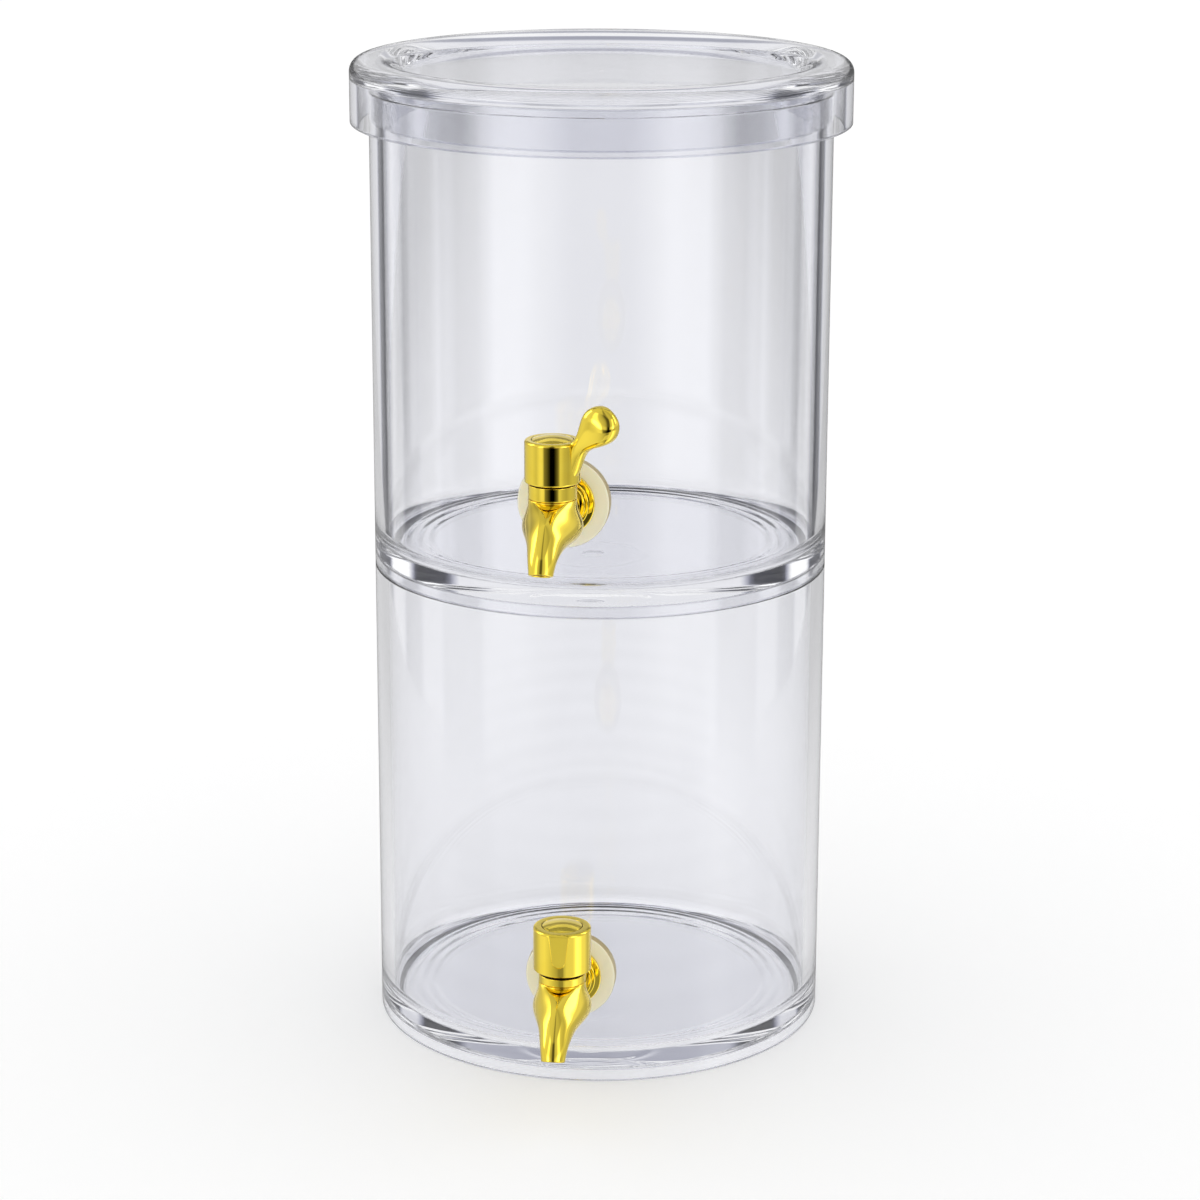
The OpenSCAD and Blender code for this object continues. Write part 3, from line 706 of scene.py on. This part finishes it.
tankShape = {
    "wall": 6 * mm,
    "floor": 5.5 * mm,
    "foot": 5 * mm,
    "footW": 2.7 * mm,
    "corner": 8 * mm,
    "edge": 0.8 * mm,
    "lipGap": 0.3 * mm,
    "gateR": 20 * mm,
    "gateDepth": 0.6 * mm,
    "gateOut": 27 * mm,  # how far the gate lies towards the tap
    "gateRows": 8,
    "rippleR": 21.8 * mm,  # a fine ripple round the gate
    "rippleW": 2.2 * mm,
    "rippleH": 0.05 * mm,
    "rippleEnd": 3,  # times its width
    "rippleRows": 25,
    "rimW": 13 * mm,  # shallow rings on the floor beside the wall
    "rimH": 0.25 * mm,
    "rimCount": 2.5,
    "rimRows": 61,
    "crown": 0.03 * mm,  # the foot's lowest ring stands this much clear of what it rests on
    "bendSteps": 12,
    "around": 480,
}


# The tank's cross-section from the middle of its floor over the wall and the foot to the gate's dish. The
# floor's rings rise as 1 - cos, the ripple falls off as a bell, and the dish is part of a circle.
def tankOutline(v, low):
    inner = tankR - v["wall"]
    top = v["foot"] + v["floor"]
    lip = tankR - v["footW"] - v["lipGap"]
    gateEdge = math.sqrt(v["gateR"] ** 2 - (v["gateR"] - v["gateDepth"]) ** 2)
    reach = math.degrees(math.asin(gateEdge / v["gateR"]))
    t = np.linspace(-v["rippleEnd"], v["rippleEnd"], v["rippleRows"])
    ripple = zip(v["rippleR"] - t * v["rippleW"], v["foot"] - v["rippleH"] * np.exp(-(t ** 2)))
    across = np.linspace(0, 1, v["rimRows"])
    swell = v["rimH"] * (1 - np.cos(2 * math.pi * v["rimCount"] * across)) / 2
    rings = zip(inner - v["corner"] - v["rimW"] * (1 - across), top + swell)
    dish = arc((0, v["foot"] + v["gateDepth"] - v["gateR"]), v["gateR"], 90 - reach, 90, v["gateRows"])
    e = v["edge"]
    corners = [
        (0, top), *rings, (inner, top + v["rimH"], v["corner"]),
        (inner, rimZ, e), (lip, rimZ, e), (lip, tierH), (tankR, tierH, e), (tankR, v["crown"], e),
        (tankR - v["footW"], v["crown"], e), (tankR - v["footW"], v["foot"], e / 2), *ripple, *dish,
    ]
    outline = profile(corners, v["bendSteps"])
    outline[:, 1] += low
    return outline


# The gate's dish and its ripple lie off the axis, under the flat of the floor
def tankSkin(v, low):
    outline = tankOutline(v, low)
    form = revolve(outline, v["around"])
    near = outline[:, 0] < v["rippleR"] + (v["rippleEnd"] + 1) * v["rippleW"]
    under = outline[:, 1] < low + v["foot"] + v["floor"] / 2
    form[near & under, :, 1] -= v["gateOut"]
    return form


holeShape = {"r": 8.3 * mm, "half": 12 * mm, "around": 96}


# A round hole through the wall at a place, turned round the tank's axis
def cutHole(piece, place, turn, v):
    r, half = v["r"], v["half"]
    ring = revolve(np.array([(0, -half), (r, -half), (r, half), (0, half)]), v["around"])
    mesh = closedMesh("cutter", ring.reshape(-1, 3), gridFaces(len(ring), v["around"], 0))
    cutter = bpy.data.objects.new("cutter", mesh)
    bpy.context.collection.objects.link(cutter)
    lie = Matrix.Rotation(math.pi / 2, 4, "X")
    cutter.matrix_world = Matrix.Rotation(turn, 4, "Z") @ Matrix.Translation(place) @ lie
    cut = piece.modifiers.new("hole", "BOOLEAN")
    cut.operation = "DIFFERENCE"
    cut.object = cutter
    cut.solver = "EXACT"
    graph = bpy.context.evaluated_depsgraph_get()
    result = bpy.data.meshes.new_from_object(piece.evaluated_get(graph))
    piece.modifiers.clear()
    piece.data = result
    bpy.data.objects.remove(cutter)
    smoothMesh(result)


tiers = {
    "lower": {"low": 0.0, "turn": 0.0, "body": "lower_tier", "valve": "lower_valve"},
    "upper": {"low": tierH, "turn": math.radians(-1.7), "body": "upper_tier", "valve": "upper_valve"},
}
for tier, t in tiers.items():
    tank = makePiece(
        tier + "_tank_moulding", [tankSkin(tankShape, t["low"])],
        "clear_acrylic", t["body"], [tier + "_tank"],
    )
    cutHole(tank, (0, -tankR, t["low"] + tapZ), t["turn"], holeShape)
print("tanks built")

lidShape = {
    "seat": 20.3 * mm,  # height of the seat above the skirt's edge
    "skirtT": 3.9 * mm,
    "rimR": 5.4 * mm,
    "flatW": 7 * mm,
    "shoulderR": 14.7 * mm,
    "shoulderRows": 16,
    "panelDrop": 5.4 * mm,
    "panelT": 4 * mm,
    "plugH": 19.5 * mm,
    "plugT": 4 * mm,
    "plugGap": 0.6 * mm,
    "edge": 0.8 * mm,
    "gateR": 1.6 * mm,
    "gateDepth": 0.4 * mm,
    "bendSteps": 12,
    "around": 480,
}


# The lid's cross-section from the middle of the panel's underside round plug ring, skirt and rim. The
# shoulder falls from the flat rim to the panel as part of a circle.
def lidOutline(v):
    seat, top, r = lidLow.z + v["seat"], lidHigh.z, lidHigh.x
    plug = tankR - tankShape["wall"] - v["plugGap"]
    flat = r - v["rimR"] - v["flatW"]
    panel = top - v["panelDrop"]
    fall = math.degrees(math.acos((v["shoulderR"] - v["panelDrop"]) / v["shoulderR"]))
    under = panel - v["panelT"]
    plugLow = seat - v["plugH"]
    e = v["edge"]
    shoulder = arc((flat, top - v["shoulderR"]), v["shoulderR"], 90, 90 + fall, v["shoulderRows"])
    corners = [
        (0, under + v["gateDepth"]), (v["gateR"], under, v["gateDepth"]),
        (plug - v["plugT"], under, e), (plug - v["plugT"], plugLow, e), (plug, plugLow, e),
        (plug, seat, e / 2), (r - v["skirtT"], seat, e), (r - v["skirtT"], lidLow.z, e), (r, lidLow.z, e),
        (r, top, v["rimR"]), *shoulder, (0, panel),
    ]
    return profile(corners, v["bendSteps"])


lidSkin = revolve(lidOutline(lidShape), lidShape["around"])
makePiece("lid_moulding", [lidSkin], "clear_acrylic", "lid", ["lid"])
print("lid built")

# Taps. Points are made in the tap's own frame: x sideways, y outwards, z up from its axis.


# From the tap's frame to the tank's wall, with the frame moved out by a length and turned with the tier
def placed(points, tier, out=0.0):
    t = tiers[tier]
    x, y, z = points[..., 0], -(points[..., 1] + tankR + out), points[..., 2] + tapZ + t["low"]
    return turned(np.stack([x, y, z], -1), math.degrees(t["turn"]))


tapShape = {
    "reach": 32 * mm,
    "flangeR": 13.7 * mm,
    "flangeT": 2 * mm,
    "washerT": 3.8 * mm,
    "stepW": 1.6 * mm,
    "steps": 2,
    "stepFall": 1.6,  # the last step stands this many steps above the barrel
    "barrelR": 8.7 * mm,
    "barrelRows": 70,
    "shankR": 7.9 * mm,
    "shankIn": 16 * mm,
    "wayR": 4.3 * mm,
    "wayEnd": 2 * mm,
    "edge": 0.45 * mm,
    "fineEdge": 0.2 * mm,
    "endEdge": 0.6 * mm,
    "threadPitch": 1.5 * mm,
    "threadDepth": 0.45 * mm,
    "threadStart": 1.2 * mm,
    "threadRows": 150,
    "joinFrom": 0.5 * mm,  # past the steps, where the barrel softens into the body
    "bendSteps": 10,
    "around": 256,
}


# Shank, flange, stepped rings and barrel; the shank's radius falls and rises along a helix, as cos of the
# turns, and the thread fades in and out over one pitch at its ends
def tapStem(v):
    face = v["washerT"] + v["flangeT"]
    rise = v["flangeR"] - v["barrelR"]
    stairs = []
    for i in range(v["steps"]):
        r = v["barrelR"] + rise * (v["steps"] - i) / (v["steps"] + v["stepFall"])
        stairs += [(r, face + i * v["stepW"]), (r, face + (i + 1) * v["stepW"], v["edge"])]
    start, end = v["threadStart"] - v["shankIn"], -v["threadStart"]
    barrel = np.linspace(face + v["steps"] * v["stepW"], v["reach"], v["barrelRows"])
    corners = [
        (0, -v["wayEnd"]), (v["wayR"], -v["wayEnd"]), (v["wayR"], -v["shankIn"], v["fineEdge"]),
        (v["shankR"], -v["shankIn"], v["endEdge"]),
        *[(v["shankR"], y) for y in np.linspace(start, end, v["threadRows"])],
        (v["shankR"], v["washerT"]), (v["flangeR"], v["washerT"], v["fineEdge"]),
        (v["flangeR"], face, v["edge"]), *stairs,
        *[(v["barrelR"], y) for y in barrel],
        (0, v["reach"]),
    ]
    form = lying(profile(corners, v["bendSteps"]), v["around"])
    x, y, z = form[..., 0], form[..., 1], form[..., 2]
    turns = y / v["threadPitch"] - np.arctan2(z, x) / (2 * np.pi)
    share = ease((y - start) / v["threadPitch"]) * ease((end - y) / v["threadPitch"])
    r = np.hypot(x, z)
    outside = r > (v["wayR"] + v["shankR"]) / 2
    cutIn = np.where(outside, v["threadDepth"] * share * (0.5 - 0.5 * np.cos(2 * np.pi * turns)), 0)
    kept = 1 - cutIn / np.maximum(r, v["wayR"] / 2)
    return np.stack([x * kept, y, z * kept], -1)


# The body is one horn from the neck to the tip, in millimetres: front and back are (out, up) points of its
# two middle lines, from the valve's axis, half is its half width between them and egg how far the widest
# place lies back
bodyShape = {
    "front": [
        (10.3, 9.0), (14, 8), (19, 5.6), (23.4, 2.6), (27.2, -1.2), (30.5, -5.2), (33.3, -9.7),
        (34.82, -14.05),
    ],
    "back": [
        (-10.3, 9.0), (-12, 2.5), (-12.8, -4.5), (-8.6, -10.4), (2, -12.3), (12.8, -11.9), (21.2, -13.6),
        (25.18, -17.95),
    ],
    "half": [10.3, 10.7, 12.15, 11.5, 8.6, 7.05, 5.95, 5.2],
    "egg": [0, 0.1, 0.3, 0.25, 0, 0, 0, 0],
    "neckZ": 9.4,
    "neckR": 10.3,
    "boreR": 4,
    "boreFrom": 0.3,
    "boreL": 11,
    "lip": 0.45,
    "blend": 2,  # width of the softened line between body and barrel
    "blendBack": 2,  # it runs behind this distance from the valve's axis
    "rows": 200,
    "neckRows": 6,
    "tipRows": 12,
    "around": 200,
}


# Natural cubic spline: between two points each number follows a cubic, and slope and curvature carry on
def smoothCurve(points, t):
    y = np.array(points, float)
    n = len(y) - 1
    links = np.eye(n + 1) * 4 + np.eye(n + 1, k=1) + np.eye(n + 1, k=-1)
    links[0], links[n] = np.eye(n + 1)[0], np.eye(n + 1)[n]
    steps = np.zeros_like(y)
    steps[1:-1] = 6 * (y[:-2] - 2 * y[1:-1] + y[2:])
    bend = np.linalg.solve(links, steps)
    i = np.minimum((t * n).astype(int), n - 1)
    f = (t * n - i).reshape(t.shape + (1,) * (y.ndim - 1))
    g = 1 - f
    return g * y[i] + f * y[i + 1] + (g ** 3 - g) / 6 * bend[i] + (f ** 3 - f) / 6 * bend[i + 1]


# The section at t: its middle, the half line from there to the front, the half width and the egg shape
def bodySection(v, t):
    front, back = smoothCurve(v["front"], t) * mm, smoothCurve(v["back"], t) * mm
    return (front + back) / 2, (front - back) / 2, smoothCurve(v["half"], t) * mm, smoothCurve(v["egg"], t)


# x = half sin(a) (1 - egg cos(a)) and (out, up) = middle + run cos(a), between the rounded edge of the neck
# and the lip and bore of the tip
def bodySkin(v):
    middle, run, half, egg = bodySection(v, np.linspace(0, 1, v["rows"]))
    edge = v["neckZ"] - v["front"][0][1]
    a = np.linspace(np.pi / 2, 0, v["neckRows"], endpoint=False)
    neckR = (v["neckR"] - edge + edge * np.cos(a)) * mm
    neckUp = (v["neckZ"] - edge + edge * np.sin(a)) * mm
    neckMiddle = np.stack([0 * neckUp, neckUp], 1)
    neckRun = np.stack([neckR, 0 * neckR], 1)
    a = np.linspace(0, np.pi, v["tipRows"] + 1)[1:]
    tipR, across = half[-1], run[-1] / np.linalg.norm(run[-1])
    way = np.array([across[1], -across[0]])
    thick = (tipR - v["boreR"] * mm) / 2
    bore = np.linspace(v["boreFrom"], v["boreL"], v["tipRows"])
    endR = np.concatenate([tipR - thick + thick * np.cos(a), 0 * bore + v["boreR"] * mm])
    endOut = np.concatenate([v["lip"] * np.sin(a), -bore]) * mm
    middle = np.concatenate([neckMiddle, middle, middle[-1] + endOut[:, None] * way])[:, None, :]
    run = np.concatenate([neckRun, run, endR[:, None] * across])[:, None, :]
    half = np.concatenate([neckR, half, endR])[:, None]
    egg = np.concatenate([0 * neckR, egg, 0 * endR])[:, None]
    a = np.linspace(0, 2 * np.pi, v["around"], endpoint=False)
    place = middle + run * np.cos(a)[:, None]
    return np.stack([half * np.sin(a) * (1 - egg * np.cos(a)), place[..., 0], place[..., 1]], -1)


# Rough distance outside the body: the section through a point is the one whose middle line it lies on
def bodyForm(p, v, tries=120):
    middle, run, _, _ = bodySection(v, np.linspace(0, 1, tries))
    off = p[:, None, 1:] - middle
    side = run[:, 0] * off[..., 1] - run[:, 1] * off[..., 0]
    i = np.clip((side < 0).argmax(1) - 1, 0, tries - 2)
    row = np.arange(len(p))
    t = (i + np.clip(side[row, i] / (side[row, i] - side[row, i + 1]), 0, 1)) / (tries - 1)
    middle, run, half, egg = bodySection(v, t)
    length = np.linalg.norm(run, axis=1)
    along = ((p[:, 1:] - middle) * run).sum(1) / length ** 2
    wide = half * (1 - egg * np.clip(along, -1, 1))
    ratio = np.hypot(along, p[:, 0] / wide) + 1e-9
    return (ratio - 1) * ratio / np.hypot(along / length, p[:, 0] / wide ** 2)


# Slope of a form at each point, as a unit vector; a form gives a rough distance outside its surface
def slope(form, shape, p, step=0.01 * mm):
    shifts = step * np.eye(3)
    rise = np.stack([form(p + shift, shape) - form(p - shift, shape) for shift in shifts], -1)
    return rise / (np.linalg.norm(rise, axis=-1, keepdims=True) + 1e-12)


# Points near another form slide out along their own slope until they lie on a soft union of both forms.
# The union's fillet grows with the angle between the two slopes.
def blended(p, own, ownShape, other, otherShape, width, rounds=10, most=0.3):
    way = slope(own, ownShape, p)
    reach = width * np.linalg.norm(way - slope(other, otherShape, p), axis=1) / 2 + 1e-9
    out = np.zeros(len(p))
    for _ in range(rounds):
        here = p + out[:, None] * way
        a, b = own(here, ownShape), other(here, otherShape)
        near = np.maximum(reach - np.abs(a - b), 0)
        out = np.clip(out - np.minimum(a, b) + near ** 2 / (4 * reach), 0, most * reach)
    return p + out[:, None] * way


# The barrel, which runs from the valve's axis back to the flange
def barrelForm(p, v):
    return np.hypot(np.hypot(p[:, 0], p[:, 2]), np.maximum(p[:, 1], 0)) - v["barrelR"]


# Body and stem, softened where they meet
def castingForms(body, stem):
    width = body["blend"] * mm
    skin = bodySkin(body)
    back = skin[..., 1] < -body["blendBack"] * mm
    back = back & (np.hypot(skin[..., 0], skin[..., 2]) < stem["barrelR"] + 2 * width)
    skin[back] = blended(skin[back], bodyForm, body, barrelForm, stem, width)
    stemSkin = tapStem(stem)
    face = stem["washerT"] + stem["flangeT"] + stem["steps"] * stem["stepW"]
    on = stemSkin[..., 1] > face + stem["joinFrom"]
    stemSkin = stemSkin - np.array([0, stem["reach"], 0])
    stemSkin[on] = blended(stemSkin[on], barrelForm, stem, bodyForm, body, width)
    return [skin, stemSkin]


bonnetShape = {
    "top": 17.2 * mm,
    "low": 9.5 * mm,
    "r": 10.3 * mm,
    "edge": 0.5 * mm,
    "groove": {"lower": 1.9 * mm, "upper": 0.9 * mm},
    "grooveIn": 0.75 * mm,
    "shade": 0.1 * mm,  # the painted shade in the gap starts this much under the groove
    "around": 256,
}


# The ring's side steps in just under the knob's edge, which leaves a shadow line there; painted shade
# darkens the groove as well
def bonnetOutline(v, knobLow, groove):
    step = knobLow - groove
    r, neck, e = v["r"], v["r"] - v["grooveIn"], v["edge"]
    return profile([
        (0, v["low"]), (r, v["low"], e), (r, step, e / 2), (neck, step, e / 4),
        (neck, v["top"], e), (0, v["top"]),
    ])


knobShape = {
    "top": 34.6 * mm,
    "edge": 1.2 * mm,
    "capR": 8.65 * mm,
    "capGap": 0.28 * mm,
    "capSeat": 32.6 * mm,
    "hollowR": 10.7 * mm,
    "hollowTop": 17.8 * mm,
    "capRise": 1.5 * mm,
    "capEdge": 0.15 * mm,
    "capRows": 24,
    "seatEdge": 0.25 * mm,
    "lowEdge": 0.3 * mm,
    "wallLow": 0.9 * mm,  # where the wall's rows start over the low edge and end under the top
    "wallTop": 1.5 * mm,
    "shadeHalf": 0.3 * mm,  # painted shade darkens the gap round the cap over this half width
    "shadeZ": 33.5 * mm,
    "shadeHigh": 0.95 * mm,
    "around": 256,
}


# A knob's cross-section: cap seat, outer wall between two rounded edges, and the hollow over the bonnet
def knobOutline(v, r, low, rows):
    wall = np.linspace(v["top"] - v["wallTop"], low + v["wallLow"], rows)
    seatR = v["capR"] + v["capGap"]
    corners = [
        (0, v["capSeat"]), (seatR, v["capSeat"]),
        (seatR, v["top"], v["seatEdge"]), (r, v["top"], v["edge"]),
        *[(r, z) for z in wall],
        (r, low, v["edge"] / 2), (v["hollowR"], low, v["lowEdge"]), (v["hollowR"], v["hollowTop"]),
        (0, v["hollowTop"]),
    ]
    return profile(corners)


facetShape = {"top": 0.95 * mm, "low": 0.45 * mm, "end": 4.5 * mm, "r": 2.9 * mm, "flare": 1.5 * mm}


# Where the thumb facet's outline holds, the wall's points are pushed back to a leaning plane
def cutFacet(form, v, r, low):
    x, y, z = form[..., 0], form[..., 1], form[..., 2]
    endZ = low + v["end"] + v["r"]
    share = np.clip((z - endZ) / (knobShape["top"] - endZ), 0, 1)
    rounded = np.sqrt(np.maximum(v["r"] ** 2 - (z - endZ) ** 2, 0))
    half = np.where(z > endZ, v["r"] + v["flare"] * share, rounded)
    lean = (v["top"] - v["low"]) / (knobShape["top"] - low - v["end"])
    plane = r - v["top"] + lean * (knobShape["top"] - z)
    inside = (np.abs(x) < half) & (y > plane) & (z > low + v["end"])
    return np.stack([x, np.where(inside, plane, y), z], -1)


# The cap's cross-section: part of a sphere over a short wall and a flat seat
def capOutline(v):
    dome = (v["capR"] ** 2 + v["capRise"] ** 2) / (2 * v["capRise"])
    centre = v["top"] + v["capRise"] - dome
    half = math.degrees(math.asin(v["capR"] / dome))
    skin = arc((0, centre), dome, 90, 90 - half, v["capRows"])
    edge = (v["capR"], v["top"], v["capEdge"])
    return profile([*skin[:-1], edge, (v["capR"], v["capSeat"]), (0, v["capSeat"])])


leverShape = {
    "turn": 68,
    "out": 23 * mm,
    "z": 43 * mm,
    "ballR": 8.3 * mm,
    "ballHalf": 5.2 * mm,
    "waist": 3.9 * mm,
    "root": 7.6 * mm,
    "half": 3.6 * mm,
    "start": (0, 5.5 * mm, 24.5 * mm),
    "square": 0.7,
    "waistShare": 0.72,
    "armRows": 120,
    "endRows": 60,
    "around": 144,
}


# Rounded sections along a straight line from inside the knob to the ball's end; a wide root, a waist and a
# flattened ball, whose sections shrink like a circle's chords
def leverSkin(v):
    a = np.array(v["start"])
    b = np.array([0, v["out"], v["z"]])
    length = np.linalg.norm(b - a)
    way = (b - a) / length
    s = np.concatenate([
        np.linspace(0, length, v["armRows"], endpoint=False),
        length + v["ballR"] * np.sin(np.linspace(0, np.pi / 2, v["endRows"])),
    ])
    neck = (length - v["ballR"]) * v["waistShare"]
    wide = np.where(
        s < neck, v["root"] + (v["waist"] - v["root"]) * ease(s / neck),
        v["waist"] + (v["ballR"] - v["waist"]) * ease((s - neck) / (length - neck)),
    )
    thick = v["half"] + (v["ballHalf"] - v["half"]) * ease((s - length + 2 * v["ballR"]) / (2 * v["ballR"]))
    fall = np.sqrt(np.maximum(1 - (np.maximum(s - length, 0) / v["ballR"]) ** 2, 0))
    phi = np.linspace(0, 2 * np.pi, v["around"], endpoint=False)
    c, w = np.cos(phi), np.sin(phi)
    side, up = np.array([1.0, 0, 0]), np.cross(way, [1.0, 0, 0])
    flatSide = np.sign(c) * np.abs(c) ** v["square"]
    flatUp = np.sign(w) * np.abs(w) ** v["square"]
    spot = a + s[:, None] * way
    return (
        spot[:, None, :]
        + (thick * fall)[:, None, None] * flatSide[None, :, None] * side
        + (wide * fall)[:, None, None] * flatUp[None, :, None] * up
    )


washerShape = {
    "r": 19.9 * mm,
    "t": 3.8 * mm,
    "edge": 0.8 * mm,
    "bore": 7.95 * mm,
    "boreEdge": 0.2 * mm,
    "gap": 0.05 * mm,
    "backHigh": 0.001 * mm,  # the back's points lie lower than this
    "line": 0.12 * mm,
    "bendSteps": 10,
    "around": 256,
}


# A disc whose back follows the round tank wall
def outerWasher(v):
    r, bore, t = v["r"], v["bore"], v["t"]
    outline = profile([(bore, 0), (bore, t, v["boreEdge"]), (r, t, v["edge"]), (r, 0)], v["bendSteps"])
    outline = np.concatenate([outline, outline[:1]])
    form = lying(outline, v["around"])
    back = form[..., 1] <= v["backHigh"]
    sag = v["gap"] - (tankR - np.sqrt(tankR ** 2 - form[..., 0] ** 2))
    return np.stack([form[..., 0], np.where(back, sag, form[..., 1]), form[..., 2]], -1)


# Distance of a piece's points from the tap's axis and from its valve's axis, and their height over the tap
def tapPlaces(piece, tier):
    co = np.empty(len(piece.data.vertices) * 3)
    piece.data.vertices.foreach_get("co", co)
    co = co.reshape(-1, 3)
    t = tiers[tier]
    form = turned(co, -math.degrees(t["turn"]))
    x, out, up = form[:, 0], -form[:, 1] - tankR, form[:, 2] - tapZ - t["low"]
    return np.hypot(x, up), np.hypot(x, out - tapShape["reach"]), up


# A value from 0 to 1 at each point of a piece, which its material reads by name
def addMask(piece, name, values):
    mask = piece.data.attributes.new(name, "FLOAT", "POINT")
    mask.data.foreach_set("value", values.astype(float))


# Painted shade: the gold turns near black in the groove under the knob, and round the cap
def shadeGroove(piece, tier, start):
    _, r, up = tapPlaces(piece, tier)
    inside = r < bonnetShape["r"] - bonnetShape["grooveIn"] / 2
    addMask(piece, "gap", inside & (up > start - bonnetShape["shade"]))


def shadeCap(piece, tier, v):
    _, r, up = tapPlaces(piece, tier)
    beside = np.abs(r - v["capR"]) < v["shadeHalf"]
    addMask(piece, "gap", beside & (np.abs(up - v["shadeZ"]) < v["shadeHigh"]))


# A painted darker line of shade and gold reflection on the washer's outer edge
def paintRimShade(piece, tier, v):
    r, _, _ = tapPlaces(piece, tier)
    addMask(piece, "rim", ease((r - v["r"] + 2 * v["line"]) / v["line"]))


casting = castingForms(bodyShape, tapShape)
knobs = {
    "lower": {"r": 12.6 * mm, "low": 15 * mm, "rows": 120, "around": 480},
    "upper": {"r": 11.8 * mm, "low": 16.5 * mm, "rows": 30, "around": 256},
}
for tier, t in tiers.items():
    reach = tapShape["reach"]
    v = knobs[tier]
    groove = bonnetShape["groove"][tier]
    makePiece(
        tier + "_tap_casting", [placed(form, tier, reach) for form in casting],
        "gold_metal", t["body"], [tier + "_tap_body"],
    )
    form = revolve(bonnetOutline(bonnetShape, v["low"], groove), bonnetShape["around"])
    bonnet = makePiece(
        tier + "_bonnet_ring", [placed(form, tier, reach)], "gold_metal", t["body"], [tier + "_tap_bonnet"],
    )
    shadeGroove(bonnet, tier, v["low"] - groove)
    form = revolve(knobOutline(knobShape, v["r"], v["low"], v["rows"]), v["around"])
    if tier == "lower":
        forms = [cutFacet(form, facetShape, v["r"], v["low"])]
    else:
        forms = [turned(part, -leverShape["turn"]) for part in (form, leverSkin(leverShape))]
    knob = makePiece(
        tier + "_knob_casting", [placed(part, tier, reach) for part in forms],
        "gold_metal", t["valve"], [tier + "_knob"],
    )
    shadeCap(knob, tier, knobShape)
    form = revolve(capOutline(knobShape), knobShape["around"])
    cap = makePiece(
        tier + "_cap_dome", [placed(form, tier, reach)], "gold_metal", t["valve"], [tier + "_knob_cap"],
    )
    shadeCap(cap, tier, knobShape)
    washer = makePiece(
        tier + "_washer_disc", [placed(outerWasher(washerShape), tier)],
        "cream_silicone", t["body"], [tier + "_outer_washer"],
    )
    paintRimShade(washer, tier, washerShape)
print("taps built")

# The solids that stay in view take their slot's material
for name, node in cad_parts.items():
    for place in node.material_slots:
        key = next((k for k in materials if place.material.name.startswith(k)), None)
        if key:
            place.material = materials[key]
print("solids dressed")
